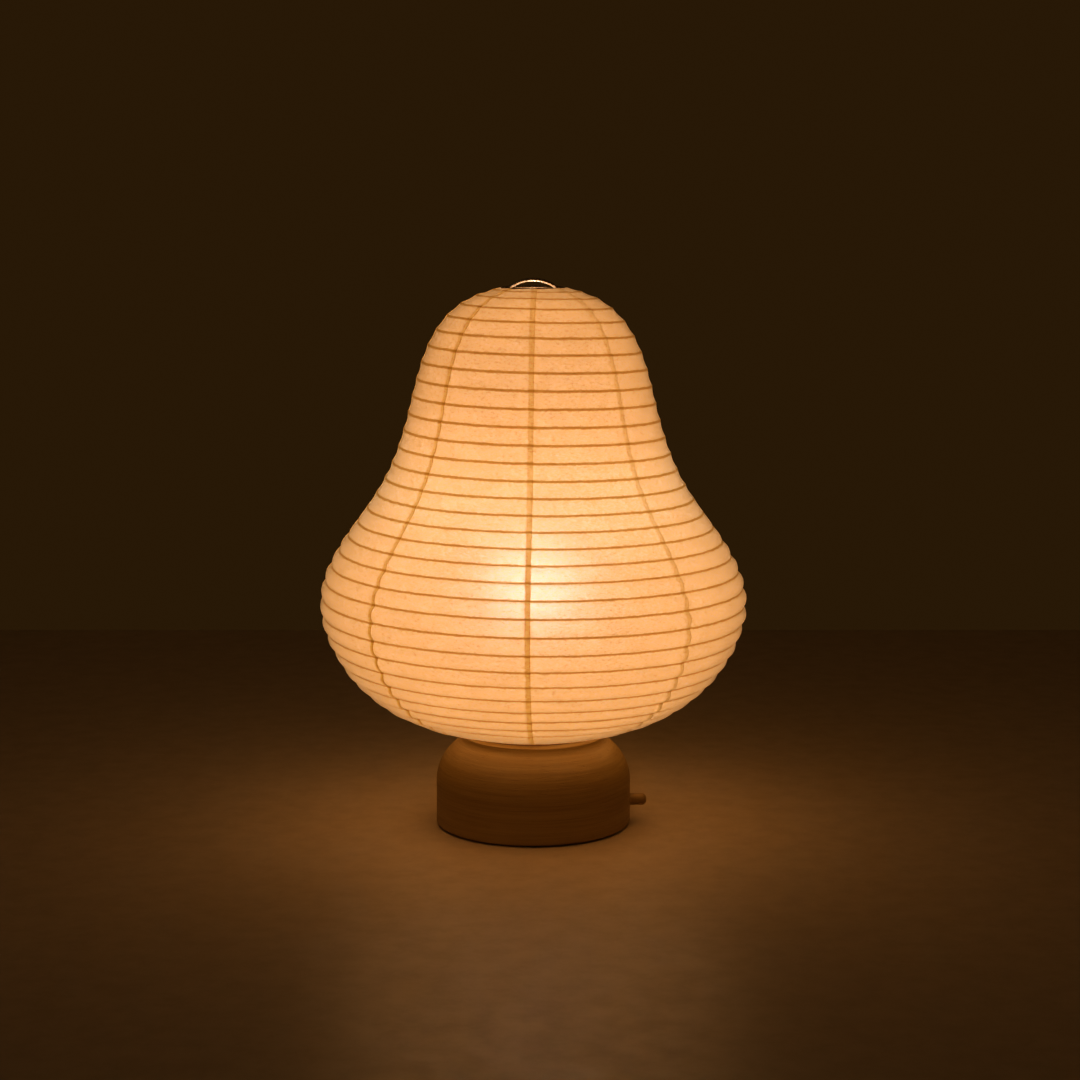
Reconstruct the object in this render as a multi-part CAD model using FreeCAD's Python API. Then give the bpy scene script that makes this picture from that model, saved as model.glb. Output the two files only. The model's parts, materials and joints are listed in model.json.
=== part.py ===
import FreeCAD
import Part

import math
import os

# Paper table lamp: a pear-shaped paper shade on one spiral rib, hung on a wire bow over a turned wooden base.
# Millimetres. The origin is on the lamp's axis, on the surface that it stands on. +Z is up, the peg points
# along +X and the cord inlet along +Y, so -Y is the front.

# Clearances
SLIP = 0.1
SCREW_SLIP = 0.05
SPINDLE_PLAY = 0.05
PEG_PLAY = 0.4
SEAT_GAP = 0.3

# Wooden base: straight wall, round shoulder, cove and flat top
BASE_RADIUS = 57.6
BASE_HEIGHT = 54.4
NECK_RADIUS = 42.2
SHOULDER_RADIUS = 28.0
COVE_RADIUS = 5.0
RIM_ROUND = 0.5
FOOT_ROUND = 1.2
TOP_THICKNESS = 14.0
CAVITY_RADIUS = 40.0
CAVITY_CORNER = 4.0

# Felt ring and bottom cover
FELT_THICKNESS = 1.0
FELT_INSET = 2.2
FELT_WIDTH = 4.5
COVER_MARGIN = 8.2
COVER_THICKNESS = 3.0
COVER_RECESS = 0.2
COVER_PLAY = 0.4
COVER_SCREWS = 4
COVER_SCREW_DIAMETER = 3.0
COVER_SCREW_HEAD = 5.6
COVER_SCREW_SINK = 1.5
COVER_SCREW_LENGTH = 14.0
SCREW_POINT = 2.0

# Cord inlet at the back
BUSH_HEIGHT = 12.0
BUSH_DIAMETER = 9.0
BUSH_BORE = 5.4
BUSH_INNER_REACH = 1.5
BUSH_FLANGE_DIAMETER = 12.0
BUSH_FLANGE_THICKNESS = 1.8
BUSH_RECESS = 0.6

# Dimmer and its peg
PEG_HEIGHT = 13.6
PEG_DIAMETER = 7.0
PEG_REACH = 9.8
PEG_END_ROUND = 2.8
PEG_WALL = 6.6
SPINDLE_DIAMETER = 3.2
SPINDLE_IN_PEG = 9.0
SPINDLE_IN_BODY = 6.0
PEG_BUSH_GAP = 0.3
DIMMER_BUSH_DIAMETER = 6.0
DIMMER_BUSH_LENGTH = 4.0
DIMMER_NUT_FLATS = 9.0
DIMMER_NUT_THICKNESS = 2.0
DIMMER_NUT_ROOM = 0.5
DIMMER_BODY_DIAMETER = 14.0
DIMMER_BODY_LENGTH = 9.0
PLATE_THICKNESS = 1.0
PLATE_WIDTH = 26.0
PLATE_TALL = 13.0
PLATE_MARGIN = 1.0
PLATE_SCREW_SPACING = 20.0
PLATE_SCREW_DIAMETER = 2.0
PLATE_SCREW_DEPTH = 4.0
PLATE_SCREW_HEAD = 4.0
PLATE_SCREW_HEAD_HEIGHT = 1.2
TAG_SPACING = 4.0
TAG_LENGTH = 4.0
TAG_WIDTH = 2.0
TAG_THICKNESS = 0.6

# Threaded tube between the base and the lampholder
NIPPLE_DIAMETER = 10.0
NIPPLE_BORE = 7.2
NIPPLE_BELOW = 10.0
NIPPLE_ABOVE = 8.0
NUT_FLATS = 14.0
NUT_THICKNESS = 3.5
WASHER_DIAMETER = 18.0
WASHER_THICKNESS = 1.5

# Lampholder
HOLDER_RADIUS = 19.0
HOLDER_WALL = 2.0
CUP_FOOT_RADIUS = 13.0
CUP_FLOOR = 3.0
CUP_HEIGHT = 16.0
CUP_SWEEP = 11.0
CORE_SEAT = 4.0
CORE_THICKNESS = 10.0
SKIRT_HEIGHT = 34.0
SKIRT_LIP = 1.6
SKIRT_LIP_HEIGHT = 2.0
SHELL_BORE_RADIUS = 13.5
SHELL_WALL = 0.5
SHELL_HEIGHT = 24.0
SHELL_FLANGE_RADIUS = 16.0
CONTACT_WIDTH = 5.0
CONTACT_THICKNESS = 0.5
CONTACT_RISE = 2.5
TERMINAL_SPACING = 18.0
TERMINAL_SIZE = 5.0
TERMINAL_HEIGHT = 4.0

# Bulb
BULB_DIAMETER = 45.0
BULB_NECK_RADIUS = 19.0
BULB_WALL = 1.0
BULB_CAP_RADIUS = 13.1
BULB_CAP_LENGTH = 23.0
BULB_CAP_WALL = 0.6
BULB_HOUSING_LENGTH = 21.0
BULB_HOUSING_FOOT = 14.0
INSULATOR_HEIGHT = 3.0
INSULATOR_RADIUS = 5.5
TIP_HEIGHT = 1.5
TIP_RADIUS = 4.5
BOARD_THICKNESS = 1.6
BOARD_MARGIN = 1.5
CHIP_COUNT = 10
CHIP_SIZE = 2.8
CHIP_HEIGHT = 0.7
CHIP_CIRCLE = 11.0

# Wire bow that holds the shade up, and its ferrules
BOW_WIRE = 2.0
BOW_HEIGHT = 268.5
BOW_ARCH_RADIUS = 23.0
BOW_BULB_GAP = 4.5
BOW_FOOT_STRAIGHT = 8.0
BOW_FOOT_BEND = 60.0
BOW_FOOT_LIFT = 1.0
FERRULE_DIAMETER = 5.0
FERRULE_LENGTH = 11.0
FERRULE_COLLAR_DIAMETER = 6.4
FERRULE_COLLAR_HEIGHT = 0.8

# Top ring and bottom hoop of the shade
RING_RADIUS = 17.9
RING_WIRE = 2.0
HOOP_PLAY = 1.3
HOOP_WALL = 2.5
HOOP_HEIGHT = 4.6
HOOP_SEAT = 0.2
PAPER_ON_HOOP = 0.6

# Outline of the shade at the rib. The crown's points are a radius and a drop below the top ring, the belly's
# are a radius and a rise above the base's flat top.
CROWN_OUTLINE = [(34.1, 4.5), (51.4, 17.5), (65.3, 44.7), (72.9, 73.8)]
BELLY_OUTLINE = [(87.1, 151.0), (109.0, 117.2), (122.7, 81.2), (115.3, 52.3), (92.7, 25.4), (68.2, 12.3)]

# Paper skin: gores lapped like shingles, drawn in between the turns at the crown and puffed out at the belly
GORE_COUNT = 8
GORE_SEAM_ANGLE = -92.0
GORE_LAP = 3.0
LAP_GAP = 0.3
PAPER_THICKNESS = 0.4
PUFF_CROWN = -0.7
PUFF_BELLY = 1.9
PUFF_START_RISE = 190.0
PUFF_FULL_RISE = 125.0
ROWS_PER_TURN = 4

# Spiral rib: a split rod, shaved to flat sides. It winds left-handed down the shade, and its turns lie closer
# towards the slack belly.
RIB_DIAMETER = 1.2
RIB_SIDES = 8
RIB_PITCH_TOP = 10.33
RIB_PITCH_BOTTOM = 9.68
RIB_START_ANGLE = 65.9
RIB_END_GAP = 1.6
RIB_ARCS_PER_TURN = 4

# Connector for the mains cord, under the ceiling of the cavity
BLOCK_LENGTH = 16.0
BLOCK_WIDTH = 19.0
BLOCK_HEIGHT = 12.0
BLOCK_NEAR_END = 10.0
BLOCK_ASIDE = 14.0
SLEEVE_SPACING = 9.0
SLEEVE_DIAMETER = 4.8
SLEEVE_BORE = 3.0
SLEEVE_INSET = 1.0
CLAMP_SCREW_DIAMETER = 2.6
CLAMP_SCREW_INSET = 4.0
CLAMP_SCREW_SINK = 0.6
BLOCK_SCREW_DIAMETER = 3.0
BLOCK_SCREW_HEAD = 5.4
BLOCK_SCREW_HEAD_HEIGHT = 1.8
BLOCK_SCREW_BITE = 8.0

# Leads inside the base
LEAD_DIAMETER = 1.8
LEAD_SPACING = 3.4
LEAD_IN_SLEEVE = 6.0
LEAD_ROUNDING = 0.45

# Levels and places that follow from the sizes above
ORIGIN = FreeCAD.Vector(0, 0, 0)
UP = FreeCAD.Vector(0, 0, 1)
FOOT = FELT_THICKNESS
COVER_BOTTOM = FOOT + COVER_RECESS
LEDGE = COVER_BOTTOM + COVER_THICKNESS
COVER_RADIUS = BASE_RADIUS - COVER_MARGIN
COVER_SCREW_CIRCLE = (CAVITY_RADIUS + COVER_RADIUS) / 2
CEILING = BASE_HEIGHT - TOP_THICKNESS
POCKET_FLOOR = BASE_RADIUS - PEG_WALL
PLATE_BACK = POCKET_FLOOR - PLATE_THICKNESS
DIMMER_BACK = PLATE_BACK - DIMMER_BODY_LENGTH
PEG_INNER_END = PLATE_BACK + DIMMER_BUSH_LENGTH + PEG_BUSH_GAP
CUP_TOP = BASE_HEIGHT + CUP_HEIGHT
CORE_BOTTOM = CUP_TOP - CORE_SEAT
CORE_TOP = CORE_BOTTOM + CORE_THICKNESS
TIP_BOTTOM = CORE_TOP + CONTACT_RISE + CONTACT_THICKNESS + SLIP
CAP_BOTTOM = TIP_BOTTOM + TIP_HEIGHT + INSULATOR_HEIGHT
CAP_TOP = CAP_BOTTOM + BULB_CAP_LENGTH
HOUSING_TOP = CAP_TOP + BULB_HOUSING_LENGTH
BULB_RADIUS = BULB_DIAMETER / 2
BULB_CENTRE = HOUSING_TOP + math.sqrt(BULB_RADIUS**2 - BULB_NECK_RADIUS**2)
BOW_FOOT_SPREAD = BULB_RADIUS + BOW_WIRE / 2 + BOW_BULB_GAP
BOW_ARCH_CENTRE = BASE_HEIGHT + BOW_HEIGHT - BOW_WIRE / 2 - BOW_ARCH_RADIUS
RING_REST = BOW_ARCH_RADIUS + BOW_WIRE / 2 + RING_WIRE / 2 + SEAT_GAP
RING_HEIGHT = BOW_ARCH_CENTRE + math.sqrt(RING_REST**2 - RING_RADIUS**2)
HOOP_INNER_RADIUS = BOW_FOOT_SPREAD + FERRULE_COLLAR_DIAMETER / 2 + HOOP_PLAY
HOOP_OUTER_RADIUS = HOOP_INNER_RADIUS + HOOP_WALL
HOOP_BOTTOM = BASE_HEIGHT + HOOP_SEAT
HOOP_TOP = HOOP_BOTTOM + HOOP_HEIGHT
BLOCK_FAR_END = BLOCK_NEAR_END + BLOCK_LENGTH
SLEEVE_HEIGHT = CEILING - BLOCK_HEIGHT / 2


def flat(point):
    """A (radius, height) point in the XZ plane."""
    return FreeCAD.Vector(point[0], 0, point[1])


def arc_about(centre, start, end):
    """An arc step for turned(): the point half way round the centre from start to end, then the end."""
    middle = flat(start) + flat(end) - flat(centre) * 2
    through = flat(centre) + middle.normalize() * (flat(start) - flat(centre)).Length
    return ((through.x, through.z), end)


def turned(*steps):
    """A solid of revolution about Z. Each step is a (radius, height) point, or an arc from arc_about()."""
    edges = []
    here = steps[0]
    for step in steps[1:] + (steps[0],):
        if isinstance(step[0], tuple):
            through, there = step
            edges.append(Part.Arc(flat(here), flat(through), flat(there)).toShape())
        else:
            there = step
            edges.append(Part.LineSegment(flat(here), flat(there)).toShape())
        here = there
    return Part.Face(Part.Wire(edges)).revolve(ORIGIN, UP, 360)


def rod(radius, bottom, top):
    """A round rod on the Z axis."""
    return Part.makeCylinder(radius, top - bottom, FreeCAD.Vector(0, 0, bottom))


def tube(outer, inner, bottom, top):
    """A round tube on the Z axis."""
    return rod(outer, bottom, top).cut(rod(inner, bottom, top))


def hex_nut(flats, bore_radius, bottom, top):
    """A hexagonal nut on the Z axis."""
    corner_radius = flats / math.sqrt(3)
    corners = []
    for side in range(7):
        angle = math.radians(60 * side)
        x = corner_radius * math.cos(angle)
        y = corner_radius * math.sin(angle)
        corners.append(FreeCAD.Vector(x, y, bottom))
    prism = Part.Face(Part.makePolygon(corners)).extrude(UP * (top - bottom))
    return prism.cut(rod(bore_radius, bottom, top))


def box(x, y, z):
    """A box from (low, high) pairs along X, Y and Z."""
    corner = FreeCAD.Vector(x[0], y[0], z[0])
    return Part.makeBox(x[1] - x[0], y[1] - y[0], z[1] - z[0], corner)


def laid_along_x(shape, y, z):
    """A piece made on the Z axis, turned to lie along X at the given place."""
    piece = shape.copy()
    piece.rotate(ORIGIN, FreeCAD.Vector(0, 1, 0), 90)
    piece.translate(FreeCAD.Vector(0, y, z))
    return piece


def laid_along_y(shape, x, z):
    """A piece made on the Z axis, turned to lie along Y at the given place."""
    piece = shape.copy()
    piece.rotate(ORIGIN, FreeCAD.Vector(1, 0, 0), -90)
    piece.translate(FreeCAD.Vector(x, 0, z))
    return piece


def moved(shape, x, y, z=0.0):
    """A copy of a piece at another place."""
    piece = shape.copy()
    piece.translate(FreeCAD.Vector(x, y, z))
    return piece


def ring_of(shape, count, radius, first_angle):
    """Copies of a piece on a circle about Z."""
    copies = []
    for index in range(count):
        copy = moved(shape, radius, 0)
        copy.rotate(ORIGIN, UP, first_angle + 360 * index / count)
        copies.append(copy)
    return copies


def round_section(edge, diameter):
    """A circle across the start of a path's first edge."""
    start = edge.valueAt(edge.FirstParameter)
    heading = edge.tangentAt(edge.FirstParameter)
    return Part.Wire(Part.Circle(start, heading, diameter / 2).toShape())


def shaved_section(edge, diameter, sides):
    """An even polygon across the start of a path's first edge, with its corners on a circle."""
    start = edge.valueAt(edge.FirstParameter)
    heading = edge.tangentAt(edge.FirstParameter)
    across = heading.cross(UP).normalize() * (diameter / 2)
    upright = across.cross(heading)
    turns = [2 * math.pi * side / sides for side in range(sides)]
    corners = [start + across * math.cos(turn) + upright * math.sin(turn) for turn in turns]
    return Part.makePolygon(corners + corners[:1])


def bar(edges, section):
    """A bar of one section that follows a path of lines and arcs."""
    return Part.Wire(edges).makePipeShell([section], True, False)


def rounded_route(points):
    """Lines through the points, with each corner rounded by an arc as large as its two runs allow."""
    edges = []
    here = points[0]
    for before, corner, after in zip(points, points[1:], points[2:]):
        back = before - corner
        onward = after - corner
        cut = LEAD_ROUNDING * min(back.Length, onward.Length)
        start = corner + back.normalize() * cut
        end = corner + onward.normalize() * cut
        inward = (back + onward).normalize()
        half_turn = (math.pi - back.getAngle(onward)) / 2
        radius = cut / math.tan(half_turn)
        through = corner + inward * (math.hypot(cut, radius) - radius)
        edges.append(Part.LineSegment(here, start).toShape())
        edges.append(Part.Arc(start, through, end).toShape())
        here = end
    edges.append(Part.LineSegment(here, points[-1]).toShape())
    return edges


def cover_screw(slip):
    """A countersunk wood screw on the Z axis, or with some slip the hole for it."""
    head = COVER_SCREW_HEAD / 2 + slip
    shank = COVER_SCREW_DIAMETER / 2 + slip
    top = COVER_BOTTOM + COVER_SCREW_LENGTH + slip
    return turned(
        (0, COVER_BOTTOM),
        (head, COVER_BOTTOM),
        (shank, COVER_BOTTOM + COVER_SCREW_SINK),
        (shank, top - SCREW_POINT),
        (0, top),
    )


def cover_screw_ring(slip):
    """The screws of the bottom cover, between the dimmer's pocket and the cord inlet."""
    return ring_of(cover_screw(slip), COVER_SCREWS, COVER_SCREW_CIRCLE, 180 / COVER_SCREWS)


def plate_screw(slip):
    """A round-headed screw of the dimmer plate along X, or with some slip the hole for it."""
    head = rod(PLATE_SCREW_HEAD / 2 + slip, PLATE_BACK - PLATE_SCREW_HEAD_HEIGHT, PLATE_BACK)
    shank = rod(PLATE_SCREW_DIAMETER / 2 + slip, PLATE_BACK, POCKET_FLOOR + PLATE_SCREW_DEPTH + slip)
    return head.fuse(shank).removeSplitter()


def plate_screw_pair(slip):
    """The two screws of the dimmer plate."""
    half = PLATE_SCREW_SPACING / 2
    return [laid_along_x(plate_screw(slip), y, PEG_HEIGHT) for y in (-half, half)]


def base_solid():
    """The turned outside of the base, before it is hollowed."""
    cove = (NECK_RADIUS + COVE_RADIUS, BASE_HEIGHT - RIM_ROUND)
    shoulder_radius = BASE_RADIUS - SHOULDER_RADIUS
    reach = SHOULDER_RADIUS + COVE_RADIUS
    shoulder = (shoulder_radius, cove[1] - math.sqrt(reach**2 - (cove[0] - shoulder_radius)**2))
    share = SHOULDER_RADIUS / reach
    meeting = tuple(low + (high - low) * share for low, high in zip(shoulder, cove))
    foot_round = (BASE_RADIUS - FOOT_ROUND, FOOT + FOOT_ROUND)
    wall_foot = (BASE_RADIUS, foot_round[1])
    wall_top = (BASE_RADIUS, shoulder[1])
    neck = (NECK_RADIUS, cove[1])
    rim_round = (NECK_RADIUS - RIM_ROUND, cove[1])
    rim = (rim_round[0], BASE_HEIGHT)
    return turned(
        (0, FOOT),
        (foot_round[0], FOOT),
        arc_about(foot_round, (foot_round[0], FOOT), wall_foot),
        wall_top,
        arc_about(shoulder, wall_top, meeting),
        arc_about(cove, meeting, neck),
        arc_about(rim_round, neck, rim),
        (0, BASE_HEIGHT),
    )


def base_body():
    """The base with its cavity, the pocket for the dimmer, and all holes."""
    corner = (CAVITY_RADIUS - CAVITY_CORNER, CEILING - CAVITY_CORNER)
    wall_top = (CAVITY_RADIUS, corner[1])
    rebate = COVER_RADIUS + COVER_PLAY
    cavity = turned(
        (0, 0),
        (rebate, 0),
        (rebate, LEDGE),
        (CAVITY_RADIUS, LEDGE),
        wall_top,
        arc_about(corner, wall_top, (corner[0], CEILING)),
        (0, CEILING),
    )
    half_wide = PLATE_WIDTH / 2 + PLATE_MARGIN
    pocket_top = PEG_HEIGHT + max(PLATE_TALL, DIMMER_BODY_DIAMETER) / 2 + PLATE_MARGIN
    pocket = box((0, POCKET_FLOOR), (-half_wide, half_wide), (LEDGE, pocket_top))
    nut_end = POCKET_FLOOR + DIMMER_NUT_THICKNESS + DIMMER_NUT_ROOM
    nut_room = rod(DIMMER_NUT_FLATS / math.sqrt(3) + DIMMER_NUT_ROOM, POCKET_FLOOR, nut_end)
    peg_hole = rod(PEG_DIAMETER / 2 + PEG_PLAY, POCKET_FLOOR, BASE_RADIUS + PEG_REACH)
    bush_hole = rod(BUSH_DIAMETER / 2 + SLIP, 0, BASE_RADIUS)
    flange_recess = rod(BUSH_FLANGE_DIAMETER / 2 + SLIP, BASE_RADIUS - BUSH_RECESS, BASE_RADIUS + BUSH_RECESS)
    ferrule_hole = rod(FERRULE_DIAMETER / 2 + SLIP, BASE_HEIGHT - FERRULE_LENGTH, BASE_HEIGHT)
    block_hole = rod(BLOCK_SCREW_DIAMETER / 2 + SCREW_SLIP, CEILING, CEILING + BLOCK_SCREW_BITE + SLIP)
    cuts = [
        cavity,
        pocket,
        laid_along_x(nut_room, 0, PEG_HEIGHT),
        laid_along_x(peg_hole, 0, PEG_HEIGHT),
        laid_along_y(bush_hole, 0, BUSH_HEIGHT),
        laid_along_y(flange_recess, 0, BUSH_HEIGHT),
        rod(NIPPLE_DIAMETER / 2 + SLIP, CEILING, BASE_HEIGHT),
        moved(ferrule_hole, -BOW_FOOT_SPREAD, 0),
        moved(ferrule_hole, BOW_FOOT_SPREAD, 0),
        moved(block_hole, -(BLOCK_NEAR_END + BLOCK_FAR_END) / 2, BLOCK_ASIDE),
    ]
    return base_solid().cut(cuts + cover_screw_ring(SCREW_SLIP) + plate_screw_pair(SCREW_SLIP))


def bottom_cover():
    """The lid of the cavity, in its rebate."""
    return rod(COVER_RADIUS, COVER_BOTTOM, LEDGE).cut(cover_screw_ring(SLIP))


def felt_ring():
    """The felt under the base's rim."""
    outer = BASE_RADIUS - FELT_INSET
    return tube(outer, outer - FELT_WIDTH, 0, FELT_THICKNESS)


def cord_bush():
    """The flanged inlet bush in the back wall."""
    seat = BASE_RADIUS - BUSH_RECESS
    inner_end = math.sqrt(CAVITY_RADIUS**2 - (BUSH_DIAMETER / 2)**2) - BUSH_INNER_REACH
    outer_end = seat + BUSH_FLANGE_THICKNESS
    edge = BUSH_FLANGE_THICKNESS / 3
    flange = BUSH_FLANGE_DIAMETER / 2
    bush = turned(
        (BUSH_BORE / 2, inner_end),
        (BUSH_DIAMETER / 2, inner_end),
        (BUSH_DIAMETER / 2, seat),
        (flange, seat),
        (flange, outer_end - edge),
        (flange - edge, outer_end),
        (BUSH_BORE / 2, outer_end),
    )
    return laid_along_y(bush, 0, BUSH_HEIGHT)


def switch_peg():
    """The turned peg, bored for the spindle."""
    radius = PEG_DIAMETER / 2
    end = BASE_RADIUS + PEG_REACH
    round_centre = (radius - PEG_END_ROUND, end - PEG_END_ROUND)
    side = (radius, round_centre[1])
    bore = SPINDLE_DIAMETER / 2 + SCREW_SLIP
    bore_end = PEG_INNER_END + SPINDLE_IN_PEG + SCREW_SLIP
    peg = turned(
        (bore, PEG_INNER_END),
        (radius, PEG_INNER_END),
        side,
        arc_about(round_centre, side, (round_centre[0], end)),
        (0, end),
        (0, bore_end),
        (bore, bore_end),
    )
    return laid_along_x(peg, 0, PEG_HEIGHT)


def dimmer_spindle():
    """The spindle, from inside the dimmer to inside the peg."""
    spindle = rod(SPINDLE_DIAMETER / 2, PLATE_BACK - SPINDLE_IN_BODY, PEG_INNER_END + SPINDLE_IN_PEG)
    return laid_along_x(spindle, 0, PEG_HEIGHT)


def dimmer_bush():
    """The threaded bush that the spindle turns in."""
    bore = SPINDLE_DIAMETER / 2 + SPINDLE_PLAY
    bush = tube(DIMMER_BUSH_DIAMETER / 2, bore, PLATE_BACK, PLATE_BACK + DIMMER_BUSH_LENGTH)
    return laid_along_x(bush, 0, PEG_HEIGHT)


def dimmer_nut():
    """The nut that clamps the bush to the plate."""
    bore = DIMMER_BUSH_DIAMETER / 2 + SCREW_SLIP
    nut = hex_nut(DIMMER_NUT_FLATS, bore, POCKET_FLOOR, POCKET_FLOOR + DIMMER_NUT_THICKNESS)
    return laid_along_x(nut, 0, PEG_HEIGHT)


def dimmer_plate():
    """The plate that carries the dimmer on the floor of its pocket."""
    half_wide = PLATE_WIDTH / 2
    half_tall = PLATE_TALL / 2
    tall = (PEG_HEIGHT - half_tall, PEG_HEIGHT + half_tall)
    plate = box((PLATE_BACK, POCKET_FLOOR), (-half_wide, half_wide), tall)
    bush_hole = rod(DIMMER_BUSH_DIAMETER / 2 + SCREW_SLIP, PLATE_BACK, POCKET_FLOOR)
    return plate.cut([laid_along_x(bush_hole, 0, PEG_HEIGHT)] + plate_screw_pair(SLIP))


def dimmer_body():
    """The round housing of the dimmer behind the plate."""
    bore = SPINDLE_DIAMETER / 2 + SPINDLE_PLAY
    bore_end = PLATE_BACK - SPINDLE_IN_BODY - SPINDLE_PLAY
    radius = DIMMER_BODY_DIAMETER / 2
    body = turned(
        (0, DIMMER_BACK),
        (radius - PLATE_MARGIN, DIMMER_BACK),
        (radius, DIMMER_BACK + PLATE_MARGIN),
        (radius, PLATE_BACK),
        (bore, PLATE_BACK),
        (bore, bore_end),
        (0, bore_end),
    )
    return laid_along_x(body, 0, PEG_HEIGHT)


def dimmer_tags():
    """Three flat tags on the back of the dimmer."""
    tags = []
    for y in (-TAG_SPACING, 0, TAG_SPACING):
        wide = (y - TAG_WIDTH / 2, y + TAG_WIDTH / 2)
        thick = (PEG_HEIGHT - TAG_THICKNESS / 2, PEG_HEIGHT + TAG_THICKNESS / 2)
        tags.append(box((DIMMER_BACK - TAG_LENGTH, DIMMER_BACK), wide, thick))
    return Part.makeCompound(tags)


def nipple_tube():
    """The threaded tube through the top of the base."""
    return tube(NIPPLE_DIAMETER / 2, NIPPLE_BORE / 2, CEILING - NIPPLE_BELOW, BASE_HEIGHT + NIPPLE_ABOVE)


def nipple_washer():
    """The washer under the ceiling of the cavity."""
    return tube(WASHER_DIAMETER / 2, NIPPLE_DIAMETER / 2 + SLIP, CEILING - WASHER_THICKNESS, CEILING)


def nipple_nuts():
    """One nut under the washer and one on the floor of the lampholder's cup."""
    bore = NIPPLE_DIAMETER / 2 + SCREW_SLIP
    under = CEILING - WASHER_THICKNESS
    floor = BASE_HEIGHT + CUP_FLOOR
    lower = hex_nut(NUT_FLATS, bore, under - NUT_THICKNESS, under)
    upper = hex_nut(NUT_FLATS, bore, floor, floor + NUT_THICKNESS)
    return Part.makeCompound([lower, upper])


def holder_cup():
    """The flared cup of the lampholder, with a ledge for the core."""
    wall_foot = (HOLDER_RADIUS, BASE_HEIGHT + CUP_SWEEP)
    sweep = (CUP_FOOT_RADIUS, wall_foot[1])
    sweep_radius = HOLDER_RADIUS - CUP_FOOT_RADIUS
    sweep_start = (CUP_FOOT_RADIUS, wall_foot[1] - sweep_radius)
    inner = HOLDER_RADIUS - HOLDER_WALL
    ledge = inner - HOLDER_WALL
    foot_inner = CUP_FOOT_RADIUS - HOLDER_WALL
    floor = BASE_HEIGHT + CUP_FLOOR
    bore = NIPPLE_DIAMETER / 2 + SCREW_SLIP
    return turned(
        (bore, BASE_HEIGHT),
        (CUP_FOOT_RADIUS, BASE_HEIGHT),
        sweep_start,
        arc_about(sweep, sweep_start, wall_foot),
        (HOLDER_RADIUS, CUP_TOP),
        (inner, CUP_TOP),
        (inner, CORE_BOTTOM),
        (ledge, CORE_BOTTOM),
        (foot_inner, sweep_start[1] + HOLDER_WALL),
        (foot_inner, floor),
        (bore, floor),
    )


def holder_core():
    """The ceramic core that carries the contacts."""
    return rod(HOLDER_RADIUS - HOLDER_WALL - SLIP, CORE_BOTTOM, CORE_TOP)


def holder_skirt():
    """The skirt round the screw shell, with a lip at its mouth."""
    inner = HOLDER_RADIUS - HOLDER_WALL
    top = CUP_TOP + SKIRT_HEIGHT
    lip = inner - SKIRT_LIP
    edge = HOLDER_WALL / 2
    return turned(
        (inner, CUP_TOP),
        (HOLDER_RADIUS, CUP_TOP),
        (HOLDER_RADIUS, top - edge),
        (HOLDER_RADIUS - edge, top),
        (lip, top),
        (lip, top - SKIRT_LIP_HEIGHT),
        (inner, top - SKIRT_LIP_HEIGHT),
    )


def holder_shell():
    """The screw shell on the core."""
    outer = SHELL_BORE_RADIUS + SHELL_WALL
    return turned(
        (SHELL_BORE_RADIUS, CORE_TOP),
        (SHELL_FLANGE_RADIUS, CORE_TOP),
        (SHELL_FLANGE_RADIUS, CORE_TOP + SHELL_WALL),
        (outer, CORE_TOP + SHELL_WALL),
        (outer, CORE_TOP + SHELL_HEIGHT),
        (SHELL_BORE_RADIUS, CORE_TOP + SHELL_HEIGHT),
    )


def holder_contact():
    """The springy centre contact, a bent strip on the core."""
    root = -SHELL_BORE_RADIUS + PLATE_MARGIN + CONTACT_WIDTH / 2
    bend = root / 3
    tongue = TIP_RADIUS
    rise = CORE_TOP + CONTACT_RISE
    outline = [
        (root, CORE_TOP),
        (bend, CORE_TOP),
        (0, rise),
        (tongue, rise),
        (tongue, rise + CONTACT_THICKNESS),
        (-CONTACT_THICKNESS, rise + CONTACT_THICKNESS),
        (bend - CONTACT_THICKNESS, CORE_TOP + CONTACT_THICKNESS),
        (root, CORE_TOP + CONTACT_THICKNESS),
        (root, CORE_TOP),
    ]
    strip = Part.Face(Part.makePolygon([flat(point) for point in outline]))
    strip.translate(FreeCAD.Vector(0, -CONTACT_WIDTH / 2, 0))
    return strip.extrude(FreeCAD.Vector(0, CONTACT_WIDTH, 0))


def holder_terminals():
    """Two brass terminals under the core."""
    half = TERMINAL_SIZE / 2
    blocks = []
    for x in (-TERMINAL_SPACING / 2, TERMINAL_SPACING / 2):
        blocks.append(box((x - half, x + half), (-half, half), (CORE_BOTTOM - TERMINAL_HEIGHT, CORE_BOTTOM)))
    return Part.makeCompound(blocks)


def bulb_contact():
    """The tip of the bulb."""
    return turned((0, TIP_BOTTOM), (TIP_RADIUS * 2 / 3, TIP_BOTTOM), (TIP_RADIUS, TIP_BOTTOM + TIP_HEIGHT),
                  (0, TIP_BOTTOM + TIP_HEIGHT))


def bulb_insulator():
    """The insulating cone between the tip and the cap."""
    bottom = TIP_BOTTOM + TIP_HEIGHT
    return turned((0, bottom), (INSULATOR_RADIUS, bottom), (BULB_CAP_RADIUS - BULB_CAP_WALL, CAP_BOTTOM),
                  (0, CAP_BOTTOM))


def bulb_cap():
    """The metal cap, a tube with a rolled lower edge."""
    edge = BULB_CAP_WALL
    inner = BULB_CAP_RADIUS - BULB_CAP_WALL
    return turned(
        (inner - edge, CAP_BOTTOM),
        (BULB_CAP_RADIUS - edge, CAP_BOTTOM),
        (BULB_CAP_RADIUS, CAP_BOTTOM + edge),
        (BULB_CAP_RADIUS, CAP_TOP),
        (inner - edge, CAP_TOP),
    )


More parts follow.
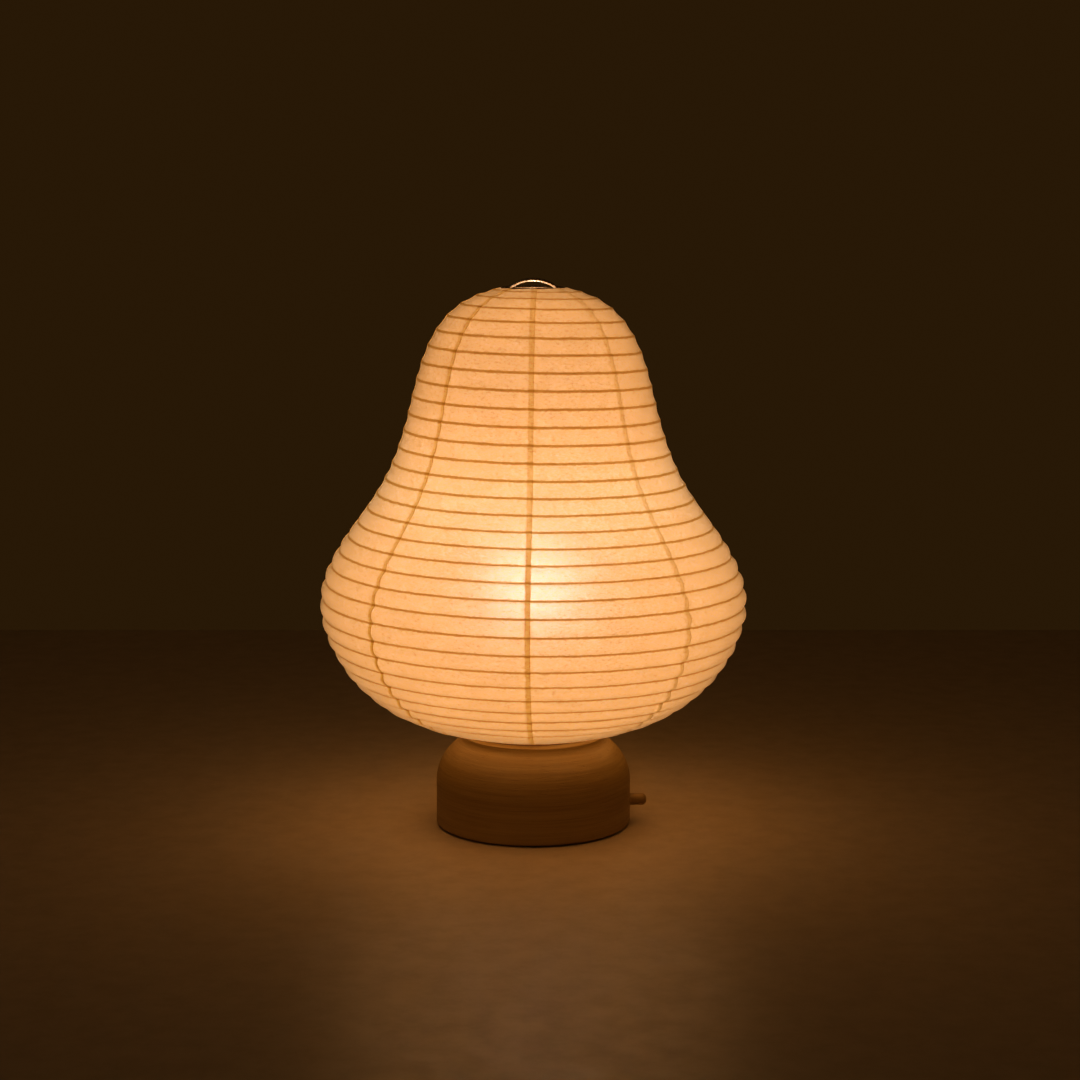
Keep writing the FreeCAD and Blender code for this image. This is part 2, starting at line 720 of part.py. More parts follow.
def bulb_housing():
    """The flared collar between the cap and the globe."""
    board_bottom = HOUSING_TOP - BOARD_THICKNESS
    board_seat = BULB_NECK_RADIUS - BOARD_MARGIN
    lower = CAP_TOP + BULB_HOUSING_LENGTH / 4
    return turned(
        (0, CAP_TOP),
        (BULB_HOUSING_FOOT, CAP_TOP),
        (BULB_HOUSING_FOOT, lower),
        (BULB_NECK_RADIUS, HOUSING_TOP),
        (board_seat, HOUSING_TOP),
        (board_seat, board_bottom),
        (0, board_bottom),
    )


def bulb_board():
    """The board of light chips in the mouth of the collar."""
    board = rod(BULB_NECK_RADIUS - BOARD_MARGIN - SLIP, HOUSING_TOP - BOARD_THICKNESS, HOUSING_TOP)
    half = CHIP_SIZE / 2
    chip = box((-half, half), (-half, half), (HOUSING_TOP, HOUSING_TOP + CHIP_HEIGHT))
    return board.fuse(ring_of(chip, CHIP_COUNT, CHIP_CIRCLE, 0))


def bulb_globe():
    """The frosted globe, an open shell on the rim of the collar."""
    centre = (0, BULB_CENTRE)
    inner_radius = BULB_RADIUS - BULB_WALL
    drop = BULB_CENTRE - HOUSING_TOP
    outer_rim = (BULB_NECK_RADIUS, HOUSING_TOP)
    inner_rim = (math.sqrt(inner_radius**2 - drop**2), HOUSING_TOP)
    outer_side = (BULB_RADIUS, BULB_CENTRE)
    inner_side = (inner_radius, BULB_CENTRE)
    return turned(
        outer_rim,
        arc_about(centre, outer_rim, outer_side),
        arc_about(centre, outer_side, (0, BULB_CENTRE + BULB_RADIUS)),
        (0, BULB_CENTRE + inner_radius),
        arc_about(centre, (0, BULB_CENTRE + inner_radius), inner_side),
        arc_about(centre, inner_side, inner_rim),
    )


def bow_leg(side):
    """One leg of the bow, on the side given by a sign: a foot, a bend and a line up to the arch."""
    foot_x = side * BOW_FOOT_SPREAD
    foot = flat((foot_x, BASE_HEIGHT - FERRULE_LENGTH + BOW_FOOT_LIFT))
    bend = flat((foot_x, BASE_HEIGHT + BOW_FOOT_STRAIGHT))
    from_centre = bend - flat((0, BOW_ARCH_CENTRE))
    slope = math.atan2(from_centre.z, abs(from_centre.x))
    touch_angle = slope + math.acos(BOW_ARCH_RADIUS / from_centre.Length)
    touch = flat((side * BOW_ARCH_RADIUS * math.cos(touch_angle),
                  BOW_ARCH_CENTRE + BOW_ARCH_RADIUS * math.sin(touch_angle)))
    rise = (touch - bend).normalize()
    half_turn = rise.getAngle(UP) / 2
    cut = BOW_FOOT_BEND * math.tan(half_turn)
    inward = (rise - UP).normalize()
    through = bend + inward * (math.hypot(cut, BOW_FOOT_BEND) - BOW_FOOT_BEND)
    bend_low = bend - UP * cut
    bend_high = bend + rise * cut
    edges = [
        Part.LineSegment(foot, bend_low).toShape(),
        Part.Arc(bend_low, through, bend_high).toShape(),
        Part.LineSegment(bend_high, touch).toShape(),
    ]
    return edges, touch


def stretcher_bow():
    """The wire bow: two legs and a round arch that carries the top ring."""
    left, left_touch = bow_leg(-1)
    right, right_touch = bow_leg(1)
    apex = flat((0, BOW_ARCH_CENTRE + BOW_ARCH_RADIUS))
    arch = Part.Arc(left_touch, apex, right_touch).toShape()
    return bar(left + [arch] + right[::-1], round_section(left[0], BOW_WIRE))


def bow_ferrules():
    """The two collared ferrules that take the feet of the bow."""
    bore = BOW_WIRE / 2 + SLIP
    collar = FERRULE_COLLAR_DIAMETER / 2
    ferrule = turned(
        (bore, BASE_HEIGHT - FERRULE_LENGTH),
        (FERRULE_DIAMETER / 2, BASE_HEIGHT - FERRULE_LENGTH),
        (FERRULE_DIAMETER / 2, BASE_HEIGHT),
        (collar, BASE_HEIGHT),
        (collar, BASE_HEIGHT + FERRULE_COLLAR_HEIGHT),
        (bore, BASE_HEIGHT + FERRULE_COLLAR_HEIGHT),
    )
    return Part.makeCompound([moved(ferrule, -BOW_FOOT_SPREAD, 0), moved(ferrule, BOW_FOOT_SPREAD, 0)])


def top_ring():
    """The wire ring that hangs on the shoulders of the bow."""
    return Part.makeTorus(RING_RADIUS, RING_WIRE / 2, FreeCAD.Vector(0, 0, RING_HEIGHT))


def bottom_hoop():
    """The hoop that the shade stands on."""
    return tube(HOOP_OUTER_RADIUS, HOOP_INNER_RADIUS, HOOP_BOTTOM, HOOP_TOP)


def shade_outline():
    """The shade's meridian at the rib, from the edge at the top ring to the edge at the hoop."""
    points = [flat((RING_RADIUS + RING_WIRE / 2 + SEAT_GAP, RING_HEIGHT))]
    points += [flat((radius, RING_HEIGHT - drop)) for radius, drop in CROWN_OUTLINE]
    points += [flat((radius, BASE_HEIGHT + rise)) for radius, rise in BELLY_OUTLINE]
    points.append(flat((HOOP_OUTER_RADIUS + SEAT_GAP, HOOP_TOP - PAPER_ON_HOOP)))
    outline = Part.BSplineCurve()
    outline.interpolate(points)
    return outline


OUTLINE = shade_outline()
OUTLINE_LENGTH = OUTLINE.length()
RIB_TURNS = 2 * OUTLINE_LENGTH / (RIB_PITCH_TOP + RIB_PITCH_BOTTOM)
RIB_PITCH_CHANGE = (RIB_PITCH_BOTTOM - RIB_PITCH_TOP) / RIB_TURNS
RIB_START = math.radians(RIB_START_ANGLE)


def outline_at(distance):
    """Radius and height at a distance along the meridian, and the outward direction there."""
    place = OUTLINE.parameterAtDistance(distance, OUTLINE.FirstParameter)
    point = OUTLINE.value(place)
    along = OUTLINE.tangent(place)[0]
    return point.x, point.z, -along.z, along.x


def distance_at(turn):
    """How far down the meridian the spiral is after some turns."""
    return RIB_PITCH_TOP * turn + RIB_PITCH_CHANGE * turn**2 / 2


def turn_at(distance):
    """How many turns the spiral has made at a distance down the meridian."""
    return 2 * distance / (RIB_PITCH_TOP + math.sqrt(RIB_PITCH_TOP**2 + 2 * RIB_PITCH_CHANGE * distance))


def puff_at(distance, height):
    """How far the paper stands out half way between two turns, none at the two edges."""
    full = BASE_HEIGHT + PUFF_FULL_RISE
    start = BASE_HEIGHT + PUFF_START_RISE
    share = min(1.0, max(0.0, (start - height) / (start - full)))
    blend = share * share * (3 - 2 * share)
    taper = min(1.0, distance / RIB_PITCH_TOP, (OUTLINE_LENGTH - distance) / RIB_PITCH_BOTTOM)
    return (PUFF_CROWN + (PUFF_BELLY - PUFF_CROWN) * blend) * taper


def gore_angles(first_angle, distance):
    """The angles of a gore's first edge, its middle and its lap's far edge, at a distance down the shade."""
    width = 2 * math.pi / GORE_COUNT + GORE_LAP / outline_at(distance)[0]
    return first_angle, first_angle + width / 2, first_angle + width


def gore_rows(first_angle):
    """Rows of (distance, angle, wave) places across a gore: one at each end, the others along the turns."""
    first_turn = (first_angle - RIB_START) / (2 * math.pi)
    lowest_turn = first_turn * ROWS_PER_TURN % 1 / ROWS_PER_TURN
    rows = [[(0.0, angle, 0.0) for angle in gore_angles(first_angle, 0.0)]]
    for step in range(int(RIB_TURNS * ROWS_PER_TURN)):
        turn = lowest_turn + step / ROWS_PER_TURN
        angles = gore_angles(first_angle, distance_at(turn))
        distances = [distance_at(turn + (angle - first_angle) / (2 * math.pi)) for angle in angles]
        if distances[0] < RIB_END_GAP or distances[-1] > OUTLINE_LENGTH - RIB_END_GAP:
            continue
        wave = abs(math.sin(math.pi * (turn - first_turn)))
        rows.append([(distance, angle, wave) for distance, angle in zip(distances, angles)])
    rows.append([(OUTLINE_LENGTH, angle, 0.0) for angle in gore_angles(first_angle, OUTLINE_LENGTH)])
    return rows


def paper_point(place, first_angle, depth):
    """A point of the paper. A gore climbs evenly from its first edge, so its far edge laps over the next."""
    distance, angle, wave = place
    radius, height, out, rise = outline_at(distance)
    lap = (PAPER_THICKNESS + LAP_GAP) * (angle - first_angle) * GORE_COUNT / (2 * math.pi)
    offset = depth + lap + puff_at(distance, height) * wave
    reach = radius + out * offset
    return FreeCAD.Vector(reach * math.cos(angle), reach * math.sin(angle), height + rise * offset)


def paper_section(row, first_angle):
    """The paper's section along one row: the inner arc, the far edge, the outer arc and the near edge."""
    inner = [paper_point(place, first_angle, 0.0) for place in row]
    outer = [paper_point(place, first_angle, PAPER_THICKNESS) for place in row]
    return [
        Part.Arc(*inner).toShape(),
        Part.LineSegment(inner[-1], outer[-1]).toShape(),
        Part.Arc(*outer).toShape(),
        Part.LineSegment(inner[0], outer[0]).toShape(),
    ]


def paper_gore(index):
    """One strip of paper: ruled from row to row along the turns of the rib, and closed at its two ends."""
    first_angle = math.radians(GORE_SEAM_ANGLE + 360 * index / GORE_COUNT)
    sections = [paper_section(row, first_angle) for row in gore_rows(first_angle)]
    faces = [Part.makeRuledSurface(end[0], end[2]) for end in (sections[0], sections[-1])]
    for upper, lower in zip(sections, sections[1:]):
        faces += [Part.makeRuledSurface(above, below) for above, below in zip(upper, lower)]
    shell = Part.makeShell(faces)
    shell.sewShape()
    gore = Part.makeSolid(shell)
    if gore.Volume < 0:
        gore.reverse()
    return gore


def rib_point(turn):
    """A point on the rib's centre line, just inside the paper."""
    radius, height, out, rise = outline_at(distance_at(turn))
    depth = SEAT_GAP + RIB_DIAMETER / 2
    angle = RIB_START + 2 * math.pi * turn
    reach = radius - out * depth
    return FreeCAD.Vector(reach * math.cos(angle), reach * math.sin(angle), height - rise * depth)


def rib_stops(per_turn):
    """Evenly spaced turns from the rib's upper end to its lower end."""
    first = turn_at(RIB_END_GAP)
    last = turn_at(OUTLINE_LENGTH - RIB_END_GAP)
    count = math.ceil((last - first) * per_turn)
    return [first + (last - first) * index / count for index in range(count + 1)]


def rib_heading(turn):
    """The direction of the rib's centre line."""
    step = 0.001
    return (rib_point(turn + step) - rib_point(turn - step)).normalize()


def arc_from(start, heading, end):
    """The arc that leaves start in a given direction and reaches end."""
    chord = end - start
    along = chord * (1 / chord.Length)
    aside = heading - along * heading.dot(along)
    sagitta = chord.Length / 2 * math.tan(heading.getAngle(along) / 2)
    return Part.Arc(start, start + chord * 0.5 + aside.normalize() * sagitta, end).toShape()


def biarc(start, heading, end, end_heading):
    """Two arcs that join smoothly and keep the directions at both ends."""
    chord = end - start
    square = 2 * (1 - heading.dot(end_heading))
    linear = 2 * chord.dot(heading + end_heading)
    reach = (math.sqrt(linear**2 + 4 * square * chord.dot(chord)) - linear) / (2 * square)
    middle = (start + heading * reach + end - end_heading * reach) * 0.5
    second = arc_from(end, end_heading * -1, middle)
    second_middle = second.valueAt((second.FirstParameter + second.LastParameter) / 2)
    return [arc_from(start, heading, middle), Part.Arc(middle, second_middle, end).toShape()]


def spiral_rib():
    """The rib: one unbroken rod that winds down the shade, with a short straight run at each end."""
    stops = rib_stops(RIB_ARCS_PER_TURN)
    points = [rib_point(stop) for stop in stops]
    headings = [rib_heading(stop) for stop in stops]
    edges = [Part.LineSegment(points[0] - headings[0] * RIB_DIAMETER, points[0]).toShape()]
    for index in range(len(stops) - 1):
        edges += biarc(points[index], headings[index], points[index + 1], headings[index + 1])
    edges.append(Part.LineSegment(points[-1], points[-1] + headings[-1] * RIB_DIAMETER).toShape())
    return bar(edges, shaved_section(edges[0], RIB_DIAMETER, RIB_SIDES))


def rib_self_gap():
    """The least gap between the rib and its next turn, measured on points."""
    per_turn = 24
    points = [rib_point(stop) for stop in rib_stops(per_turn)]
    least = min((points[later] - points[index]).Length
                for index in range(len(points))
                for later in range(index + per_turn // 2, min(len(points), index + per_turn * 3 // 2)))
    return least - RIB_DIAMETER


def sleeve_places():
    """The two sleeves' places across the connector."""
    return (BLOCK_ASIDE - SLEEVE_SPACING / 2, BLOCK_ASIDE + SLEEVE_SPACING / 2)


def clamp_screws(slip):
    """The four clamping screws from below, or with some slip the holes for them."""
    bottom = CEILING - BLOCK_HEIGHT + CLAMP_SCREW_SINK
    top = SLEEVE_HEIGHT - LEAD_DIAMETER / 2 - SLIP
    screw = rod(CLAMP_SCREW_DIAMETER / 2 + slip, bottom - slip * CLAMP_SCREW_SINK / SLIP, top)
    near = -(BLOCK_NEAR_END + CLAMP_SCREW_INSET)
    far = -(BLOCK_FAR_END - CLAMP_SCREW_INSET)
    return [moved(screw, x, y) for x in (near, far) for y in sleeve_places()]


def block_screw_solid(slip):
    """The screw that holds the connector, or with some slip the hole for it."""
    bottom = CEILING - BLOCK_HEIGHT
    head = rod(BLOCK_SCREW_HEAD / 2 + slip, bottom, bottom + BLOCK_SCREW_HEAD_HEIGHT)
    shank = rod(BLOCK_SCREW_DIAMETER / 2 + slip, bottom, CEILING + BLOCK_SCREW_BITE)
    screw = head.fuse(shank).removeSplitter()
    return moved(screw, -(BLOCK_NEAR_END + BLOCK_FAR_END) / 2, BLOCK_ASIDE)


def connector_block():
    """The insulating connector block under the ceiling."""
    wide = (BLOCK_ASIDE - BLOCK_WIDTH / 2, BLOCK_ASIDE + BLOCK_WIDTH / 2)
    block = box((-BLOCK_FAR_END, -BLOCK_NEAR_END), wide, (CEILING - BLOCK_HEIGHT, CEILING))
    bore = rod(SLEEVE_DIAMETER / 2 + SLIP, -BLOCK_FAR_END, -BLOCK_NEAR_END)
    bores = [laid_along_x(bore, y, SLEEVE_HEIGHT) for y in sleeve_places()]
    return block.cut(bores + clamp_screws(SLIP) + [block_screw_solid(SLIP)])


def connector_sleeves():
    """The two brass sleeves in the block."""
    sleeve = tube(SLEEVE_DIAMETER / 2, SLEEVE_BORE / 2, -BLOCK_FAR_END + SLEEVE_INSET,
                  -BLOCK_NEAR_END - SLEEVE_INSET)
    laid = [laid_along_x(sleeve, y, SLEEVE_HEIGHT) for y in sleeve_places()]
    return Part.makeCompound([piece.cut(clamp_screws(SCREW_SLIP)) for piece in laid])


def lead(points):
    """One insulated lead along a route."""
    edges = rounded_route([FreeCAD.Vector(*point) for point in points])
    return bar(edges, round_section(edges[0], LEAD_DIAMETER))


def inner_leads():
    """The live lead to the dimmer, the switched lead to the lampholder and the neutral lead."""
    sleeve_end = -BLOCK_NEAR_END - LEAD_IN_SLEEVE
    tag_end = DIMMER_BACK - TAG_LENGTH
    rise = LEAD_SPACING / 2
    terminal = TERMINAL_SPACING / 2 - TERMINAL_SIZE / 2
    terminal_height = CORE_BOTTOM - TERMINAL_HEIGHT / 2
    inner, outer = sleeve_places()
    live = lead([
        (sleeve_end, outer, SLEEVE_HEIGHT),
        (-4, outer, SLEEVE_HEIGHT),
        (6, 17, 27),
        (16, 12, 19),
        (26, TAG_SPACING, PEG_HEIGHT),
        (tag_end, TAG_SPACING, PEG_HEIGHT),
    ])
    switched = lead([
        (tag_end, -TAG_SPACING, PEG_HEIGHT),
        (24, -TAG_SPACING, PEG_HEIGHT),
        (11, -2, 12),
        (rise, 0, 20),
        (rise, 0, terminal_height),
        (terminal, 0, terminal_height),
    ])
    neutral = lead([
        (sleeve_end, inner, SLEEVE_HEIGHT),
        (-5, inner, SLEEVE_HEIGHT),
        (1, 12, 24),
        (0, 14, 14),
        (-1, 8, 6.6),
        (-rise, -0.5, 8),
        (-rise, 0, 20),
        (-rise, 0, terminal_height),
        (-terminal, 0, terminal_height),
    ])
    return Part.makeCompound([live, switched, neutral])


def export(name, shape):
    """Write one piece to its file."""
    shape.exportStep("parts/" + name + ".step")


def main():
    """Build and write every piece."""
    os.makedirs("parts", exist_ok=True)
    pieces = [
        base_body, bottom_cover, felt_ring, cord_bush,
        switch_peg, dimmer_spindle, dimmer_bush, dimmer_nut, dimmer_plate, dimmer_body, dimmer_tags,
        nipple_tube, nipple_washer, nipple_nuts,
        holder_cup, holder_core, holder_skirt, holder_shell, holder_contact, holder_terminals,
        bulb_contact, bulb_insulator, bulb_cap, bulb_housing, bulb_board, bulb_globe,
        stretcher_bow, bow_ferrules, top_ring, bottom_hoop, spiral_rib,
        connector_block, connector_sleeves, inner_leads,
    ]
    for piece in pieces:
        export(piece.__name__, piece())
    export("cover_screws", Part.makeCompound(cover_screw_ring(0)))
    export("plate_screws", Part.makeCompound(plate_screw_pair(0)))
    export("connector_screws", Part.makeCompound(clamp_screws(0)))
    export("block_screw", block_screw_solid(0))
    for index in range(GORE_COUNT):
        export("paper_gore_" + str(index + 1), paper_gore(index))
    print(f"length of the shade's meridian: {OUTLINE_LENGTH:.1f} mm")
    print(f"least gap between turns of the rib: {rib_self_gap():.2f} mm")


main()
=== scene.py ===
import json
import math

import bmesh
import bpy
import numpy as np
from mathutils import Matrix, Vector, noise


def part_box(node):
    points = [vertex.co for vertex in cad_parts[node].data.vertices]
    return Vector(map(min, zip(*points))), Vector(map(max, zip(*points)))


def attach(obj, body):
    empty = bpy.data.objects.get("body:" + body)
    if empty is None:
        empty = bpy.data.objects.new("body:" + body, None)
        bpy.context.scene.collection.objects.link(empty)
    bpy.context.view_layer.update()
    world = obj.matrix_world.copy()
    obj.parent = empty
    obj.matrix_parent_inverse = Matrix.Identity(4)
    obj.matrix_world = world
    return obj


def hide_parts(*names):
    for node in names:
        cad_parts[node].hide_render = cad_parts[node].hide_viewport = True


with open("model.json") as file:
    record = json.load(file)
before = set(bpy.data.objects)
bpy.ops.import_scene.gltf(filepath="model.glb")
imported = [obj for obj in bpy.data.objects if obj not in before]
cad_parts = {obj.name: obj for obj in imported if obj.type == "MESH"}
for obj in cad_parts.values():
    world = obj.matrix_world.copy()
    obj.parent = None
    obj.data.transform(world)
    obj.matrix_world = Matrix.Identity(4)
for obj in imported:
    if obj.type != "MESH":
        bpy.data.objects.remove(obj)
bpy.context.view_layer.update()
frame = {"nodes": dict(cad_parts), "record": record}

# Paper table lamp: the looks of its pear-shaped paper shade, turned wooden base, wire bow and inner pieces.
# Metres. +Z is up, the peg points along +X and the front is -Y.

FULL_TURN = 2 * math.pi
MERGE_DISTANCE = 1e-6

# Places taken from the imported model
RING_LOW, RING_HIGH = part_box("top_ring")
RING_HEIGHT = (RING_LOW.z + RING_HIGH.z) / 2
RING_EDGE = RING_HIGH.x
BASE_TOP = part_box("base_body")[1].z
HOOP_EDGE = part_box("bottom_hoop")[1].x
HOOP_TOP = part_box("bottom_hoop")[1].z
FELT_LOW, FELT_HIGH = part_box("felt_ring")
GLOBE_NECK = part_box("bulb_globe")[0].z

# Outline of the shade at the rib: radius and drop below the top ring, then radius and rise above the base
CROWN_OUTLINE = [(.0341, .0045), (.0514, .0175), (.0653, .0447), (.0729, .0738)]
BELLY_OUTLINE = [(.0871, .1510), (.1090, .1172), (.1227, .0812),
                 (.1153, .0523), (.0927, .0254), (.0682, .0123)]
EDGE_GAP = .0003
PAPER_ON_HOOP = .0006
OUTLINE_STEPS = 800

# Spiral rib, whose pitch is measured along the paper
RIB_PITCH_TOP = .01033
RIB_PITCH_BOTTOM = .00968
RIB_START = math.radians(65.9)
RIB_DIAMETER = .0012
RIB_SEAT = .0003
RIB_END_GAP = .0016
RIB_POINTS_PER_TURN = 48

# Paper strips, each of which climbs over the next one at its far edge
GORE_COUNT = 8
GORE_SEAM = math.radians(-92)
GORE_LAP = .0030
PAPER_THICKNESS = .0003
LAP_CLIMB = .00032
ROWS_PER_TURN = 10
GORE_COLUMNS = 18

# Puffs between the turns: drawn in at the crown, standing out at the belly, and not all alike
PUFF_CROWN = -.0007
PUFF_BELLY = .00195
PUFF_START_RISE = .155
PUFF_FULL_RISE = .085
PUFF_UNEVEN = .22
PUFF_CHANGES_ROUND = 2.2
PUFF_CHANGES_DOWN = .9
PUFF_PATTERN = 3.0
WRINKLE_DEPTH = .00016
WRINKLE_SIZE = .011

# Painted shade in the glow at each seam, where the paper is doubled and pasted, the front seam first and
# then round to the right, and thinner up the neck
SEAM_SHADE = (.62, .46, .62, .50, .66, .52, .60, .90)
SEAM_SHADE_FULL_RISE = .060
SEAM_SHADE_THIN_RISE = .118
SEAM_SHADE_THIN = .32

# Fibres in the paper: how close they lie, how wide they are and how much light they hold back
FIBRES = ((34.0, .005, .30), (75.0, .008, .24), (150.0, .012, .16))
FIBRE_STRETCH = (1.0, 1.0, 1.35)
FIBRE_PATCHES = .9
FIBRE_RELIEF = 4.0

# The rib's painted shadow line on the paper, in parts of a turn, and the underside of the shade, where it is
# broader
RIB_SHADOW_FULL = .046
RIB_SHADOW_END = .098
UNDERSIDE_LOW_RISE = .012
UNDERSIDE_HIGH_RISE = .045
UNDERSIDE_SHARE = .42

# Lamplight on the paper: the bulb's own light, stronger upwards than sideways, and stray light in the shade
LIGHT_CENTRE = (0, 0, .140)
LIGHT_AT_ONE_METRE = .0132
LIGHT_SIDEWAYS = .62
LIGHT_UPWARDS = .20
DIRECT_LIGHT = .279
STRAY_LIGHT = .25
LIGHT_COLOURS = ((0.0, (.0, .0, .0)), (.30, (.71, .30, .081)), (.38, (.87, .38, .110)),
                 (.45, (.97, .45, .143)), (.55, (1.0, .55, .225)), (.80, (1.0, .80, .50)))
# Painted shade in the glow: how much darker the laps, their edges and the rib's shadow line tint the light
LIGHT_TINTS = {"Lap": (.64, .50, .01, 1), "Lap edge": (.72, .56, .10, 1), "Rib line": (.57, .46, .13, 1)}
PAPER_GLOW = .72
GLOBE_GLOW = 66.0
GLOBE_NECK_LENGTH = .012

# How much the direction of the sheet without its puffs outweighs the paper's own in its light
LEVEL_SHARE = 2.5

# Felt ring
FELT_WIDTH = .0045
FELT_SOFT_EDGE = .0004
FELT_STEPS = 128
SHARP_ANGLE = 1.0

# Floor, surround and soft light
FLOOR_REACH = .61
SURROUND_COLOUR = (.021, .0095, .002, 1)
SOFT_LIGHT_SIZE = 1.6
SOFT_LIGHT_ENERGY = .5
SOFT_LIGHT_COLOUR = (1.0, .86, .70)
SOFT_LIGHT_PLACE = (-.7, -1.3, 1.7)
SOFT_LIGHT_AIM = Vector((0, 0, .1))

# Camera, from the photograph's vanishing lines and the sizes of the lamp
CAMERA_PLACE = (.004, -1.3206, .368)
CAMERA_PITCH = math.radians(8.53)
CAMERA_LENS = 75.84
CAMERA_SENSOR = 36.0


def outline_table():
    """Radius, height and distance at small steps down a smooth curve through the outline's points."""
    points = [(RING_EDGE + EDGE_GAP, RING_HEIGHT)]
    points += [(radius, RING_HEIGHT - drop) for radius, drop in CROWN_OUTLINE]
    points += [(radius, BASE_TOP + rise) for radius, rise in BELLY_OUTLINE]
    points.append((HOOP_EDGE + EDGE_GAP, HOOP_TOP - PAPER_ON_HOOP))
    points = np.array(points)
    runs = np.linalg.norm(np.diff(points, axis=0), axis=1)
    places = np.concatenate([[0], np.cumsum(runs)])

    # A natural cubic spline: how much it bends at each point follows from the runs on both sides
    system = np.eye(len(points))
    bending = np.zeros(points.shape)
    for i in range(1, len(points) - 1):
        system[i, i - 1:i + 2] = runs[i - 1], 2 * (runs[i - 1] + runs[i]), runs[i]
        bending[i] = 6 * ((points[i + 1] - points[i]) / runs[i] - (points[i] - points[i - 1]) / runs[i - 1])
    bends = np.linalg.solve(system, bending)

    steps = np.linspace(0, places[-1], OUTLINE_STEPS)
    run = np.clip(np.searchsorted(places, steps, side="right") - 1, 0, len(runs) - 1)
    length = runs[run][:, None]
    after = (steps - places[run])[:, None] / length
    before = 1 - after
    curve = before * points[run] + after * points[run + 1]
    curve += ((before**3 - before) * bends[run] + (after**3 - after) * bends[run + 1]) * length**2 / 6
    distance = np.concatenate([[0], np.cumsum(np.linalg.norm(np.diff(curve, axis=0), axis=1))])
    return curve[:, 0], curve[:, 1], distance


OUTLINE_RADIUS, OUTLINE_HEIGHT, OUTLINE_DISTANCE = outline_table()
OUTLINE_LENGTH = OUTLINE_DISTANCE[-1]
RIB_TURNS = 2 * OUTLINE_LENGTH / (RIB_PITCH_TOP + RIB_PITCH_BOTTOM)
RIB_PITCH_CHANGE = (RIB_PITCH_BOTTOM - RIB_PITCH_TOP) / RIB_TURNS


def outline_at(distance):
    """Radius and height at a distance down the meridian, and the outward direction there."""
    step = OUTLINE_LENGTH / OUTLINE_STEPS
    low, high = max(0, distance - step), min(OUTLINE_LENGTH, distance + step)
    radius = np.interp([low, distance, high], OUTLINE_DISTANCE, OUTLINE_RADIUS)
    height = np.interp([low, distance, high], OUTLINE_DISTANCE, OUTLINE_HEIGHT)
    out = Vector((height[0] - height[2], radius[2] - radius[0])).normalized()
    return radius[1], height[1], out.x, out.y


def distance_at(turn):
    """How far down the meridian the spiral is after some turns."""
    return RIB_PITCH_TOP * turn + RIB_PITCH_CHANGE * turn**2 / 2


def paper_distance(turn):
    """How far down the meridian the spiral is, kept between the two edges of the paper."""
    return min(OUTLINE_LENGTH, max(0, distance_at(turn)))


def turn_at(distance):
    """How many turns the spiral has made at a distance down the meridian."""
    return 2 * distance / (RIB_PITCH_TOP + math.sqrt(RIB_PITCH_TOP**2 + 2 * RIB_PITCH_CHANGE * distance))


def smooth_share(value, start, full):
    """From 0 at start to 1 at full, with a soft beginning and end."""
    share = min(1, max(0, (value - start) / (full - start)))
    return share * share * (3 - 2 * share)


def round_point(reach, angle, height):
    """A point from its distance to the lamp's axis, its angle and its height."""
    return Vector((reach * math.cos(angle), reach * math.sin(angle), height))


def new_piece(name, shape, body, slot, node):
    """A smoothly shaded object from a bmesh, which moves with a body and stands for a node."""
    mesh = bpy.data.meshes.new(name)
    shape.to_mesh(mesh)
    shape.free()
    mesh.polygons.foreach_set("use_smooth", [True] * len(mesh.polygons))
    mesh.materials.append(FINISHES[slot])
    piece = bpy.data.objects.new(name, mesh)
    bpy.context.scene.collection.objects.link(piece)
    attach(piece, body)
    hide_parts(node)


